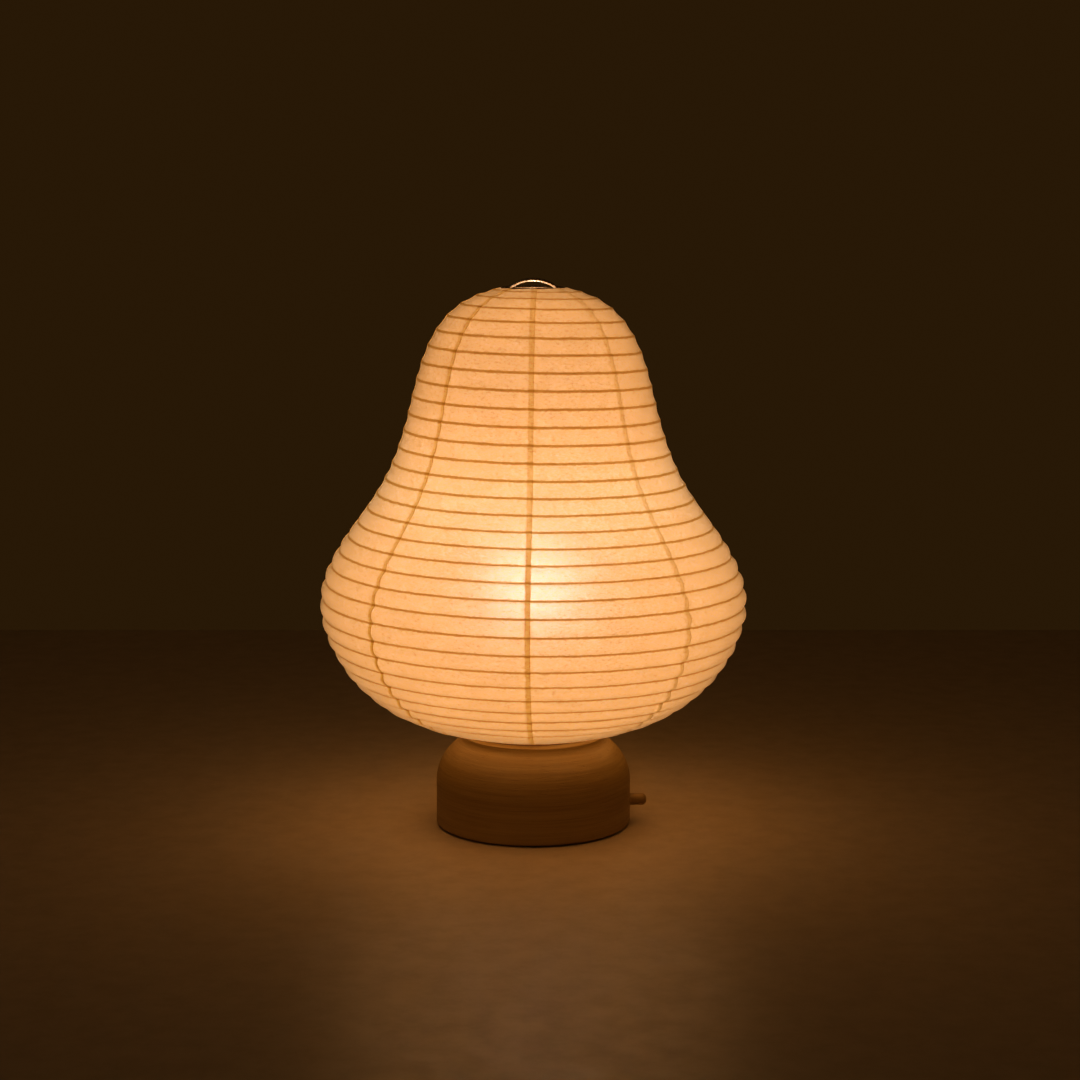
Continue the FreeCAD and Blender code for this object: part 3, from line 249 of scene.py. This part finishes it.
class Nodes:
    """Short forms for building a node tree."""

    def __init__(self, tree):
        self.tree = tree

    def add(self, kind, **settings):
        """A node of some kind, with its settings."""
        node = self.tree.nodes.new(kind)
        for name, value in settings.items():
            setattr(node, name, value)
        return node

    def put(self, socket, value):
        """A socket gets a link or a plain value."""
        if isinstance(value, bpy.types.NodeSocket):
            self.tree.links.new(value, socket)
        else:
            socket.default_value = value

    def math(self, operation, *values, clamp=False):
        """One step of arithmetic."""
        node = self.add("ShaderNodeMath", operation=operation, use_clamp=clamp)
        for socket, value in zip(node.inputs, values):
            self.put(socket, value)
        return node.outputs[0]

    def vector(self, operation, *values, output=0):
        """One step of vector arithmetic. Output 1 is the number of a length or dot product."""
        node = self.add("ShaderNodeVectorMath", operation=operation)
        for socket, value in zip(node.inputs, values):
            self.put(socket, value)
        return node.outputs[output]

    def scaled(self, vector, factor):
        """A vector times a factor."""
        node = self.add("ShaderNodeVectorMath", operation="SCALE")
        self.put(node.inputs[0], vector)
        self.put(node.inputs["Scale"], factor)
        return node.outputs[0]

    def ranged(self, value, low, high, to_low=0.0, to_high=1.0, smooth=True):
        """A value taken from one range to another, and kept inside it."""
        node = self.add("ShaderNodeMapRange", interpolation_type="SMOOTHSTEP" if smooth else "LINEAR")
        for socket, number in zip(node.inputs, (value, low, high, to_low, to_high)):
            self.put(socket, number)
        return node.outputs[0]

    def mixed(self, share, first, second, blend="MIX"):
        """Two colours mixed by a share of the second."""
        node = self.add("ShaderNodeMix", data_type="RGBA", blend_type=blend)
        self.put(node.inputs["Factor"], share)
        self.put(node.inputs[6], first)
        self.put(node.inputs[7], second)
        return node.outputs[2]

    def noise(self, place, scale, detail=4.0, roughness=.55, distortion=0.0):
        """Cloudy noise from 0 to 1."""
        node = self.add("ShaderNodeTexNoise")
        self.put(node.inputs["Vector"], place)
        self.put(node.inputs["Scale"], scale)
        node.inputs["Detail"].default_value = detail
        node.inputs["Roughness"].default_value = roughness
        node.inputs["Distortion"].default_value = distortion
        return node.outputs["Fac"]

    def ramp(self, value, stops):
        """A colour ramp from (place, colour) stops."""
        node = self.add("ShaderNodeValToRGB")
        elements = node.color_ramp.elements
        while len(elements) < len(stops):
            elements.new(1.0)
        for element, (place, colour) in zip(elements, stops):
            element.position = place
            element.color = (*colour, 1)
        self.put(node.inputs[0], value)
        return node.outputs[0]

    def bump(self, height, strength, distance):
        """A normal from a relief."""
        node = self.add("ShaderNodeBump")
        self.put(node.inputs["Height"], height)
        node.inputs["Strength"].default_value = strength
        node.inputs["Distance"].default_value = distance
        return node.outputs[0]

    def place(self, stretch=(1, 1, 1)):
        """Object coordinates, stretched along the axes."""
        where = self.add("ShaderNodeTexCoord").outputs["Object"]
        mapping = self.add("ShaderNodeMapping")
        self.put(mapping.inputs["Vector"], where)
        mapping.inputs["Scale"].default_value = stretch
        return mapping.outputs[0]

    def height(self):
        """Height above the floor, at rest."""
        parts = self.add("ShaderNodeSeparateXYZ")
        self.put(parts.inputs[0], self.place())
        return parts.outputs["Z"]

    def attribute(self, name, output="Fac"):
        """A value kept in the mesh."""
        return self.add("ShaderNodeAttribute", attribute_name=name).outputs[output]

    def group(self, tree, **values):
        """A node group, with values or links for its named inputs."""
        node = self.add("ShaderNodeGroup")
        node.node_tree = tree
        for name, value in values.items():
            self.put(node.inputs[name.replace("_", " ").capitalize()], value)
        return node.outputs


FLOAT, COLOUR, VECTOR = "NodeSocketFloat", "NodeSocketColor", "NodeSocketVector"
SURFACE_OUTPUTS = [("Color", COLOUR), ("Roughness", FLOAT), ("Height", FLOAT)]


def new_group(name, inputs, outputs):
    """A shader node group with named sockets. Returns its nodes, its given values and its result sockets."""
    tree = bpy.data.node_groups.new(name, "ShaderNodeTree")
    for label, kind, value in inputs:
        socket = tree.interface.new_socket(label, in_out="INPUT", socket_type=kind)
        socket.default_value = value
    for label, kind in outputs:
        tree.interface.new_socket(label, in_out="OUTPUT", socket_type=kind)
    nodes = Nodes(tree)
    given = nodes.add("NodeGroupInput").outputs
    results = nodes.add("NodeGroupOutput").inputs
    return nodes, given, results


def grain_group():
    """Straight wood grain in level layers: growth rings, fine lines, pores and short rays."""
    nodes, given, results = new_group(
        "wood_grain",
        [("Light", COLOUR, (.60, .37, .18, 1)), ("Dark", COLOUR, (.40, .21, .09, 1)),
         ("Scale", FLOAT, 1.0)],
        SURFACE_OUTPUTS)

    def layers(stretch, detail, roughness):
        place = nodes.scaled(nodes.place(stretch), given["Scale"])
        return nodes.noise(place, 1.0, detail, roughness)

    rings = nodes.ranged(layers((5, 9, 150), 3.0, .55), .34, .66)
    lines = nodes.ranged(layers((14, 30, 900), 2.0, .6), .36, .64)
    pores = nodes.ranged(layers((60, 160, 2200), 2.0, .6), .58, .74)
    rays = nodes.ranged(layers((150, 420, 1300), 1.0, .4), .66, .76)
    cloud = nodes.noise(nodes.place(), 24.0, detail=3.0)
    tone = nodes.math("ADD", nodes.math("MULTIPLY", rings, .34), nodes.math("MULTIPLY", lines, .30))
    tone = nodes.math("ADD", tone, nodes.math("MULTIPLY", cloud, .34))
    tone = nodes.math("ADD", tone, nodes.math("MULTIPLY", pores, .30), clamp=True)
    colour = nodes.mixed(tone, given["Light"], given["Dark"])
    colour = nodes.mixed(nodes.math("MULTIPLY", rays, .30), colour, given["Dark"])
    nodes.put(results["Color"], colour)
    nodes.put(results["Roughness"], nodes.ranged(tone, 0, 1, .46, .64, smooth=False))
    height = nodes.math("SUBTRACT", nodes.math("MULTIPLY", lines, .3), nodes.math("ADD", pores, rays))
    nodes.put(results["Height"], height)
    return nodes.tree


def drawn_metal_group():
    """Metal with drawing streaks, smudges and a mottled tone."""
    nodes, given, results = new_group(
        "drawn_metal",
        [("Light", COLOUR, (.6, .6, .6, 1)), ("Dark", COLOUR, (.35, .35, .35, 1)), ("Rough", FLOAT, .3)],
        SURFACE_OUTPUTS)
    streaks = nodes.noise(nodes.place((900, 900, 120)), 1.0, detail=3.0, roughness=.6)
    smudges = nodes.noise(nodes.place(), 140.0, roughness=.6)
    tone = nodes.math("ADD", nodes.math("MULTIPLY", streaks, .5), nodes.math("MULTIPLY", smudges, .5))
    nodes.put(results["Color"], nodes.mixed(nodes.ranged(tone, .35, .68), given["Light"], given["Dark"]))
    spread = nodes.ranged(smudges, .3, .75, -.08, .14, smooth=False)
    nodes.put(results["Roughness"], nodes.math("ADD", given["Rough"], spread, clamp=True))
    nodes.put(results["Height"], streaks)
    return nodes.tree


def moulded_group():
    """Moulded or fired surface: fine texture, soft blotches and a little dust."""
    nodes, given, results = new_group(
        "moulded_skin",
        [("Light", COLOUR, (.8, .8, .8, 1)), ("Dark", COLOUR, (.6, .6, .6, 1)), ("Rough", FLOAT, .5),
         ("Grain", FLOAT, 900.0)],
        SURFACE_OUTPUTS)
    texture = nodes.noise(nodes.place(), given["Grain"], detail=2.0, roughness=.5)
    blotch = nodes.noise(nodes.place(), 60.0, roughness=.6)
    tone = nodes.math("ADD", blotch, nodes.math("MULTIPLY", texture, .3))
    nodes.put(results["Color"], nodes.mixed(nodes.ranged(tone, .45, .9), given["Light"], given["Dark"]))
    spread = nodes.ranged(blotch, .3, .75, -.07, .10, smooth=False)
    nodes.put(results["Roughness"], nodes.math("ADD", given["Rough"], spread, clamp=True))
    nodes.put(results["Height"], texture)
    return nodes.tree


def fibre_lines(nodes, place):
    """Thin crossing fibres of three sizes, each only in patches."""
    fibres = None
    for scale, width, amount in FIBRES:
        field = nodes.noise(nodes.place(FIBRE_STRETCH), scale, detail=2.0, roughness=.5, distortion=.8)
        line = nodes.ranged(nodes.math("ABSOLUTE", nodes.math("SUBTRACT", field, .5)), 0, width, 1, 0)
        patch = nodes.ranged(nodes.noise(place, scale * FIBRE_PATCHES, detail=2.0), .56, .66)
        line = nodes.math("MULTIPLY", nodes.math("MULTIPLY", line, patch), amount)
        fibres = line if fibres is None else nodes.math("ADD", fibres, line)
    return fibres


def rib_line(nodes, turn, place):
    """The unsteady painted shadow line of the rib, where the paper lies on it."""
    wobble = nodes.ranged(nodes.noise(place, 130.0, detail=3.0), .3, .7, -.018, .018, smooth=False)
    phase = nodes.math("ADD", nodes.math("ADD", turn, wobble), .5)
    off_line = nodes.math("ABSOLUTE", nodes.math("SUBTRACT", nodes.math("FRACT", phase), .5))
    underside = nodes.ranged(nodes.height(), BASE_TOP + UNDERSIDE_LOW_RISE, BASE_TOP + UNDERSIDE_HIGH_RISE,
                             UNDERSIDE_SHARE, 1.0)
    off_line = nodes.math("MULTIPLY", off_line, underside)
    tone = nodes.ranged(nodes.noise(place, 200.0, detail=2.0), .3, .7, .84, 1.0, smooth=False)
    return nodes.math("MULTIPLY", nodes.ranged(off_line, RIB_SHADOW_FULL, RIB_SHADOW_END, 1, 0), tone)


def lap_masks(nodes, given, place):
    """Where the paper is doubled at a seam, and the lines along both edges of that lap, both painted shade
    in the glow.
    """
    edge = nodes.math("MINIMUM", given["Near edge"], given["Far edge"])
    wobble = nodes.ranged(nodes.noise(place, 320.0, detail=3.0), .3, .7, -.0003, .0003, smooth=False)
    edge = nodes.math("ADD", edge, wobble)
    lap_width = nodes.ranged(given["Paste"], .3, 1.0, .0032, .0018, smooth=False)
    past_lap = nodes.math("SUBTRACT", edge, lap_width)
    lap = nodes.ranged(past_lap, -.0001, .0003, 1, 0)
    outer_line = nodes.ranged(edge, .0002, .0008, 1, 0)
    inner_line = nodes.ranged(nodes.math("ABSOLUTE", past_lap), .0001, .0005, .6, 0)
    lines = nodes.math("MAXIMUM", outer_line, inner_line)
    return nodes.math("MULTIPLY", lap, given["Paste"]), nodes.math("MULTIPLY", lines, given["Paste"])


def washi_group():
    """Handmade paper: the share of light that passes, the rib's painted shadow line, the painted shade of
    the doubled seams and the relief.
    """
    nodes, given, results = new_group(
        "washi_sheet",
        [("Turn", FLOAT, 0.0), ("Near edge", FLOAT, .01), ("Far edge", FLOAT, .01), ("Paste", FLOAT, .5)],
        [("Light share", FLOAT), ("Rib line", FLOAT), ("Lap", FLOAT), ("Lap edge", FLOAT),
         ("Grain", FLOAT), ("Height", FLOAT)])
    place = nodes.place()
    cloud = nodes.ranged(nodes.noise(place, 48.0, roughness=.62), .25, .75, .95, 1.05, smooth=False)
    grain = nodes.noise(nodes.place((1, 1, 2.4)), 480.0, roughness=.7)
    grain = nodes.ranged(grain, .32, .68, smooth=False)
    speckle = nodes.ranged(grain, 0, 1, .73, 1.25, smooth=False)
    fibres = fibre_lines(nodes, place)
    between_fibres = nodes.math("SUBTRACT", 1.0, fibres)
    light_share = nodes.math("MULTIPLY", nodes.math("MULTIPLY", cloud, speckle), between_fibres)
    lap, lap_edge = lap_masks(nodes, given, place)
    tooth = nodes.noise(place, 420.0, roughness=.65)
    nodes.put(results["Light share"], light_share)
    nodes.put(results["Rib line"], rib_line(nodes, given["Turn"], place))
    nodes.put(results["Lap"], lap)
    nodes.put(results["Lap edge"], lap_edge)
    nodes.put(results["Grain"], grain)
    nodes.put(results["Height"], nodes.math("ADD", nodes.math("MULTIPLY", fibres, FIBRE_RELIEF), tooth))
    return nodes.tree


def lamplight_group():
    """The colour of the lamp's own light at a spot of the shade, once it has passed the paper."""
    nodes, given, results = new_group(
        "lamplight",
        [("Bulb", VECTOR, LIGHT_CENTRE), ("Sheet normal", VECTOR, (0, 0, 1)), ("Light share", FLOAT, 1.0),
         ("Rib line", FLOAT, 0.0), ("Lap", FLOAT, 0.0), ("Lap edge", FLOAT, 0.0)],
        [("Color", COLOUR)])
    where = nodes.add("ShaderNodeTexCoord").outputs["Object"]
    away = nodes.vector("SUBTRACT", where, given["Bulb"])
    distance = nodes.vector("LENGTH", away, output=1)
    ray = nodes.vector("NORMALIZE", away)
    facing = nodes.math("ABSOLUTE", nodes.vector("DOT_PRODUCT", ray, given["Sheet normal"], output=1))
    upward = nodes.vector("DOT_PRODUCT", ray, (0, 0, 1), output=1)
    bulb_spread = nodes.math("MULTIPLY_ADD", upward, LIGHT_UPWARDS, LIGHT_SIDEWAYS)
    nearness = nodes.math("DIVIDE", LIGHT_AT_ONE_METRE, nodes.math("POWER", distance, 2.0))
    direct = nodes.math("MULTIPLY", nodes.math("MULTIPLY", facing, nearness), bulb_spread)
    level = nodes.math("MULTIPLY_ADD", direct, DIRECT_LIGHT, STRAY_LIGHT)
    level = nodes.math("MULTIPLY", level, given["Light share"])
    colour = nodes.ramp(level, LIGHT_COLOURS)
    # The laps, their edge lines and the rib's shadow darken the light as painted shade
    for mask, tint in LIGHT_TINTS.items():
        colour = nodes.mixed(given[mask], colour, nodes.mixed(1.0, colour, tint, "MULTIPLY"))
    nodes.put(results["Color"], colour)
    return nodes.tree


GRAIN, DRAWN, MOULDED = grain_group(), drawn_metal_group(), moulded_group()
WASHI, LAMPLIGHT = washi_group(), lamplight_group()


def new_material(name):
    """A material with one shader. Returns it, its nodes and its shader's inputs."""
    material = bpy.data.materials.new(name)
    material.use_nodes = True
    material.node_tree.nodes.clear()
    nodes = Nodes(material.node_tree)
    shader = nodes.add("ShaderNodeBsdfPrincipled")
    output = nodes.add("ShaderNodeOutputMaterial")
    nodes.put(output.inputs["Surface"], shader.outputs[0])
    return material, nodes, shader.inputs


def surfaced(name, tree, light, dark, strength, depth, metallic=0.0, **values):
    """A material whose colour, roughness and relief come from one of the surface groups."""
    material, nodes, shader = new_material(name)
    surface = nodes.group(tree, light=(*light, 1), dark=(*dark, 1), **values)
    nodes.put(shader["Base Color"], surface["Color"])
    nodes.put(shader["Roughness"], surface["Roughness"])
    shader["Metallic"].default_value = metallic
    nodes.put(shader["Normal"], nodes.bump(surface["Height"], strength, depth))
    return material


def wood(name, light, dark, scale=1.0):
    """Turned, sanded and oiled wood."""
    return surfaced(name, GRAIN, light, dark, strength=.35, depth=.00025, scale=scale)


def metal(name, light, dark, rough):
    """Drawn or pressed metal."""
    return surfaced(name, DRAWN, light, dark, strength=.2, depth=.00005, metallic=1.0, rough=rough)


def moulded(name, light, dark, rough, grain=900.0):
    """Moulded plastic, glazed ceramic or insulation."""
    return surfaced(name, MOULDED, light, dark, strength=.15, depth=.00005, rough=rough, grain=grain)


def washi_paper():
    """The lit paper of the shade, which glows all over and lets a soft image of the bulb through."""
    material, nodes, shader = new_material("washi_paper")
    sheet = nodes.group(WASHI, turn=nodes.attribute("turn"), near_edge=nodes.attribute("near_edge"),
                        far_edge=nodes.attribute("far_edge"), paste=nodes.attribute("paste"))

    # Light falls on the paper by its own direction and, more so, by that of the sheet without its puffs
    level_normal = nodes.attribute("level_normal", "Vector")
    own_normal = nodes.add("ShaderNodeNewGeometry").outputs["Normal"]
    side = nodes.math("SIGN", nodes.vector("DOT_PRODUCT", own_normal, level_normal, output=1))
    level_part = nodes.scaled(level_normal, nodes.math("MULTIPLY", side, LEVEL_SHARE))
    sheet_normal = nodes.vector("NORMALIZE", nodes.vector("ADD", own_normal, level_part))

    light = nodes.group(LAMPLIGHT, sheet_normal=sheet_normal, light_share=sheet["Light share"],
                        rib_line=sheet["Rib line"], lap=sheet["Lap"], lap_edge=sheet["Lap edge"])
    pulp = nodes.mixed(sheet["Grain"], (.64, .59, .52, 1), (.96, .955, .95, 1))
    # The rib seen through the paper darkens its colour: partly the rib itself, partly its painted shadow
    nodes.put(shader["Base Color"], nodes.mixed(sheet["Rib line"], pulp, (.60, .42, .20, 1)))
    shader["Roughness"].default_value = .49
    shader["Sheen Weight"].default_value = 1.0
    shader["Sheen Roughness"].default_value = .45
    shader["Transmission Weight"].default_value = .2
    shader["IOR"].default_value = 1.4
    shader["Specular IOR Level"].default_value = .2
    nodes.put(shader["Emission Color"], light["Color"])
    shader["Emission Strength"].default_value = PAPER_GLOW
    material.cycles.emission_sampling = "NONE"
    relief = nodes.bump(sheet["Height"], strength=.25, distance=.0002)
    nodes.put(relief.node.inputs["Normal"], sheet_normal)
    nodes.put(shader["Normal"], relief)
    return material


def lit_globe():
    """The frosted globe of the bulb, dimmer at its neck."""
    material, nodes, shader = new_material("lit_globe")
    lit = nodes.ranged(nodes.height(), GLOBE_NECK, GLOBE_NECK + GLOBE_NECK_LENGTH, .55, 1.0)
    frost = nodes.ranged(nodes.noise(nodes.place(), 240.0, detail=3.0), .3, .7, .94, 1.0, smooth=False)
    glow = nodes.math("MULTIPLY", lit, frost)
    nodes.put(shader["Base Color"], nodes.mixed(frost, (.90, .86, .78, 1), (.97, .95, .90, 1)))
    shader["Roughness"].default_value = .5
    nodes.put(shader["Emission Color"], nodes.mixed(glow, (0, 0, 0, 1), (.96, .96, 1.0, 1)))
    shader["Emission Strength"].default_value = GLOBE_GLOW
    return material


def felt():
    """Pressed felt: matted fibres and a dull tone."""
    material, nodes, shader = new_material("pressed_felt")
    fibres = nodes.noise(nodes.place(), 1500.0, roughness=.75, distortion=1.5)
    mats = nodes.noise(nodes.place(), 220.0, detail=3.0, roughness=.6)
    tone = nodes.math("ADD", nodes.math("MULTIPLY", fibres, .7), nodes.math("MULTIPLY", mats, .3))
    tone = nodes.ranged(tone, .35, .65)
    nodes.put(shader["Base Color"], nodes.mixed(tone, (.085, .060, .040, 1), (.20, .150, .105, 1)))
    shader["Roughness"].default_value = .95
    shader["Sheen Weight"].default_value = .4
    nodes.put(shader["Normal"], nodes.bump(fibres, strength=.8, distance=.0004))
    return material


# The finish of each material slot: a light and a dark tone, and how rough or finely grained it is
FINISHES = {
    "turned_wood": wood("turned_beech", (.43, .29, .075), (.26, .157, .034)),
    "cover_board": wood("cover_board", (.34, .22, .13), (.22, .13, .07), scale=2.2),
    "hoop": wood("bent_hoop_wood", (.40, .22, .10), (.22, .11, .045), scale=1.6),
    "rib": wood("split_bamboo", (.58, .38, .18), (.36, .20, .08), scale=3.0),
    "felt": felt(),
    "inlet_plastic": moulded("inlet_plastic", (.050, .044, .040), (.025, .022, .020), rough=.42),
    "dimmer_plastic": moulded("dimmer_plastic", (.070, .070, .075), (.035, .035, .038), rough=.45),
    "plated_steel": metal("plated_steel", (.66, .65, .62), (.44, .43, .41), rough=.34),
    "brass": metal("plain_brass", (.80, .58, .24), (.56, .37, .13), rough=.30),
    "holder_plastic": moulded("holder_plastic", (.84, .82, .77), (.70, .67, .61), rough=.38),
    "holder_ceramic": moulded("holder_ceramic", (.88, .86, .82), (.76, .73, .68), rough=.16, grain=300.0),
    "bulb_plastic": moulded("bulb_plastic", (.90, .89, .87), (.78, .77, .74), rough=.36),
    "bulb_board": moulded("bulb_board", (.92, .88, .66), (.80, .72, .42), rough=.5, grain=2400.0),
    "bulb_cap": metal("pressed_cap", (.78, .78, .77), (.56, .56, .55), rough=.28),
    "bulb_globe": lit_globe(),
    "bow_wire": metal("drawn_wire", (.46, .36, .22), (.20, .15, .085), rough=.26),
    "washi": washi_paper(),
    "connector_plastic": moulded("connector_plastic", (.80, .78, .72), (.66, .63, .57), rough=.4),
    "lead_sheath": moulded("lead_sheath", (.72, .70, .65), (.56, .54, .49), rough=.45),
}


def dress_nodes():
    """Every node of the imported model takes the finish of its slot."""
    for subpart in frame["record"]["subparts"]:
        node = frame["nodes"][subpart["node"]]
        for slot in node.material_slots:
            slot.material = FINISHES[subpart["material_slot"]]


def puff_at(distance, height):
    """How far the paper stands out half way between two turns, none at the two edges."""
    blend = smooth_share(height, BASE_TOP + PUFF_START_RISE, BASE_TOP + PUFF_FULL_RISE)
    taper = min(1, distance / RIB_PITCH_TOP, (OUTLINE_LENGTH - distance) / RIB_PITCH_BOTTOM)
    return (PUFF_CROWN + (PUFF_BELLY - PUFF_CROWN) * blend) * taper


def paper_swell(distance, radius, angle, height, turn):
    """How far the paper stands out at a spot, with its unevenness and wrinkles, none on the rib itself."""
    wave = abs(math.sin(math.pi * turn))
    pattern = Vector((angle * PUFF_CHANGES_ROUND, turn * PUFF_CHANGES_DOWN, PUFF_PATTERN))
    uneven = 1 + PUFF_UNEVEN * noise.noise(pattern)
    spot = round_point(radius, angle, height) / WRINKLE_SIZE
    return puff_at(distance, height) * wave * uneven + WRINKLE_DEPTH * wave * noise.noise(spot)


def seam_shade_at(index, across, height):
    """How much painted seam shade shows at a spot of a strip, from one seam across to the next."""
    paste = (1 - across) * SEAM_SHADE[index] + across * SEAM_SHADE[(index + 1) % GORE_COUNT]
    thinning = smooth_share(height, BASE_TOP + SEAM_SHADE_FULL_RISE, BASE_TOP + SEAM_SHADE_THIN_RISE)
    return paste * (1 - SEAM_SHADE_THIN * thinning)


def washi_gore(index):
    """One strip of paper between two seams: a grid laid along the turns of the rib, puffed between them."""
    first_angle = GORE_SEAM + FULL_TURN * index / GORE_COUNT
    first_turn = (first_angle - RIB_START) / FULL_TURN

    # The rows slant down with the rib, so the first of them begin above the upper edge of the paper
    start_row = -math.ceil(ROWS_PER_TURN / GORE_COUNT) - 1
    start_turn = first_turn % (1 / ROWS_PER_TURN) + start_row / ROWS_PER_TURN
    rows = math.ceil((RIB_TURNS - start_turn) * ROWS_PER_TURN)

    # The grid is one unit wide and high before each of its points goes to its place on the shade
    shape = bmesh.new()
    bmesh.ops.create_grid(shape, x_segments=GORE_COLUMNS, y_segments=rows, size=.5)
    turn_layer = shape.verts.layers.float.new("turn")
    near_layer = shape.verts.layers.float.new("near_edge")
    far_layer = shape.verts.layers.float.new("far_edge")
    seam_shade_layer = shape.verts.layers.float.new("paste")
    normal_layer = shape.verts.layers.float_vector.new("level_normal")
    for vert in shape.verts:
        across = vert.co.x + .5
        row = round((.5 - vert.co.y) * rows)
        edge_turn = start_turn + row / ROWS_PER_TURN
        width = FULL_TURN / GORE_COUNT + GORE_LAP / outline_at(paper_distance(edge_turn))[0]
        step = across * width
        angle = first_angle + step
        distance = paper_distance(edge_turn + step / FULL_TURN)
        radius, height, out, rise = outline_at(distance)
        turn = turn_at(distance) - (angle - RIB_START) / FULL_TURN
        vert[turn_layer] = turn
        vert[near_layer] = step * radius
        vert[far_layer] = (width - step) * radius
        vert[seam_shade_layer] = seam_shade_at(index, across, height)
        vert[normal_layer] = round_point(out, angle, rise)
        climb = LAP_CLIMB * step * GORE_COUNT / FULL_TURN
        offset = climb + paper_swell(distance, radius, angle, height, turn)
        vert.co = round_point(radius + out * offset, angle, height + rise * offset)
    bmesh.ops.remove_doubles(shape, verts=shape.verts, dist=MERGE_DISTANCE)
    bmesh.ops.dissolve_degenerate(shape, edges=shape.edges, dist=MERGE_DISTANCE)
    bmesh.ops.recalc_face_normals(shape, faces=shape.faces)

    # The sheet faces inwards before it gets its thickness, so that the closed strip faces outwards
    widest = max(shape.faces, key=lambda face: face.calc_center_median().xy.length)
    if widest.normal.dot(widest.calc_center_median()) > 0:
        bmesh.ops.reverse_faces(shape, faces=shape.faces)
    bmesh.ops.solidify(shape, geom=shape.faces, thickness=PAPER_THICKNESS)
    number = str(index + 1)
    new_piece("washi_gore_" + number, shape, "shade", "washi", "paper_gore_" + number)


def bamboo_rib():
    """The spiral rib: one long winding rod, just inside the paper."""
    first, last = turn_at(RIB_END_GAP), turn_at(OUTLINE_LENGTH - RIB_END_GAP)
    count = math.ceil((last - first) * RIB_POINTS_PER_TURN)
    curve = bpy.data.curves.new("bamboo_rib_path", "CURVE")
    curve.dimensions = "3D"
    curve.bevel_depth = RIB_DIAMETER / 2
    curve.bevel_resolution = 2
    curve.use_fill_caps = True
    path = curve.splines.new("POLY")
    path.points.add(count)
    depth = RIB_SEAT + RIB_DIAMETER / 2
    for index, point in enumerate(path.points):
        turn = first + (last - first) * index / count
        radius, height, out, rise = outline_at(distance_at(turn))
        place = round_point(radius - out * depth, RIB_START + FULL_TURN * turn, height - rise * depth)
        point.co = (*place, 1)
    holder = bpy.data.objects.new("bamboo_rib_path", curve)
    shape = bmesh.new()
    shape.from_mesh(bpy.data.meshes.new_from_object(holder))
    bpy.data.objects.remove(holder)
    new_piece("bamboo_rib", shape, "shade", "rib", "spiral_rib")


def felt_pad():
    """The felt ring under the base, with soft edges."""
    outer = FELT_HIGH.x
    inner = outer - FELT_WIDTH
    corners = [(inner, FELT_LOW.z), (outer, FELT_LOW.z), (outer, FELT_HIGH.z), (inner, FELT_HIGH.z)]
    shape = bmesh.new()
    ring = [shape.verts.new((radius, 0, height)) for radius, height in corners]
    edges = [shape.edges.new((ring[i - 1], ring[i])) for i in range(len(ring))]
    bmesh.ops.spin(shape, geom=ring + edges, cent=(0, 0, 0), axis=(0, 0, 1), angle=FULL_TURN,
                   steps=FELT_STEPS, use_merge=True)
    bmesh.ops.remove_doubles(shape, verts=shape.verts, dist=MERGE_DISTANCE)
    bmesh.ops.recalc_face_normals(shape, faces=shape.faces)
    sharp = [edge for edge in shape.edges if edge.calc_face_angle(0) > SHARP_ANGLE]
    bmesh.ops.bevel(shape, geom=sharp, offset=FELT_SOFT_EDGE, affect="EDGES", segments=2, profile=.5,
                    material=-1)
    new_piece("felt_pad", shape, "base", "felt", "felt_ring")


def pale_floor():
    """A plain pale floor."""
    shape = bmesh.new()
    bmesh.ops.create_grid(shape, x_segments=1, y_segments=1, size=FLOOR_REACH)
    mesh = bpy.data.meshes.new("floor")
    shape.to_mesh(mesh)
    shape.free()
    mesh.materials.append(moulded("pale_floor", (.57, .45, .27), (.51, .40, .235), rough=.42, grain=300.0))
    floor = bpy.data.objects.new("floor", mesh)
    bpy.context.scene.collection.objects.link(floor)


def studio_light():
    """A dim surround and one wide soft light."""
    world = bpy.data.worlds.new("dim_surround")
    world.use_nodes = True
    world.node_tree.nodes["Background"].inputs["Color"].default_value = SURROUND_COLOUR
    bpy.context.scene.world = world
    lamp = bpy.data.lights.new("soft_light", "AREA")
    lamp.shape = "DISK"
    lamp.size = SOFT_LIGHT_SIZE
    lamp.energy = SOFT_LIGHT_ENERGY
    lamp.color = SOFT_LIGHT_COLOUR
    light = bpy.data.objects.new("soft_light", lamp)
    light.location = SOFT_LIGHT_PLACE
    light.rotation_euler = (SOFT_LIGHT_AIM - light.location).to_track_quat("-Z", "Y").to_euler()
    bpy.context.scene.collection.objects.link(light)
    bpy.context.scene.view_settings.view_transform = "Standard"


def camera():
    """The photograph's view."""
    lens = bpy.data.cameras.new("camera")
    lens.lens = CAMERA_LENS
    lens.sensor_width = CAMERA_SENSOR
    eye = bpy.data.objects.new("camera", lens)
    eye.location = CAMERA_PLACE
    eye.rotation_euler = (math.pi / 2 - CAMERA_PITCH, 0, 0)
    bpy.context.scene.collection.objects.link(eye)
    bpy.context.scene.camera = eye


camera()
pale_floor()
studio_light()
dress_nodes()
for gore in range(GORE_COUNT):
    washi_gore(gore)
bamboo_rib()
felt_pad()
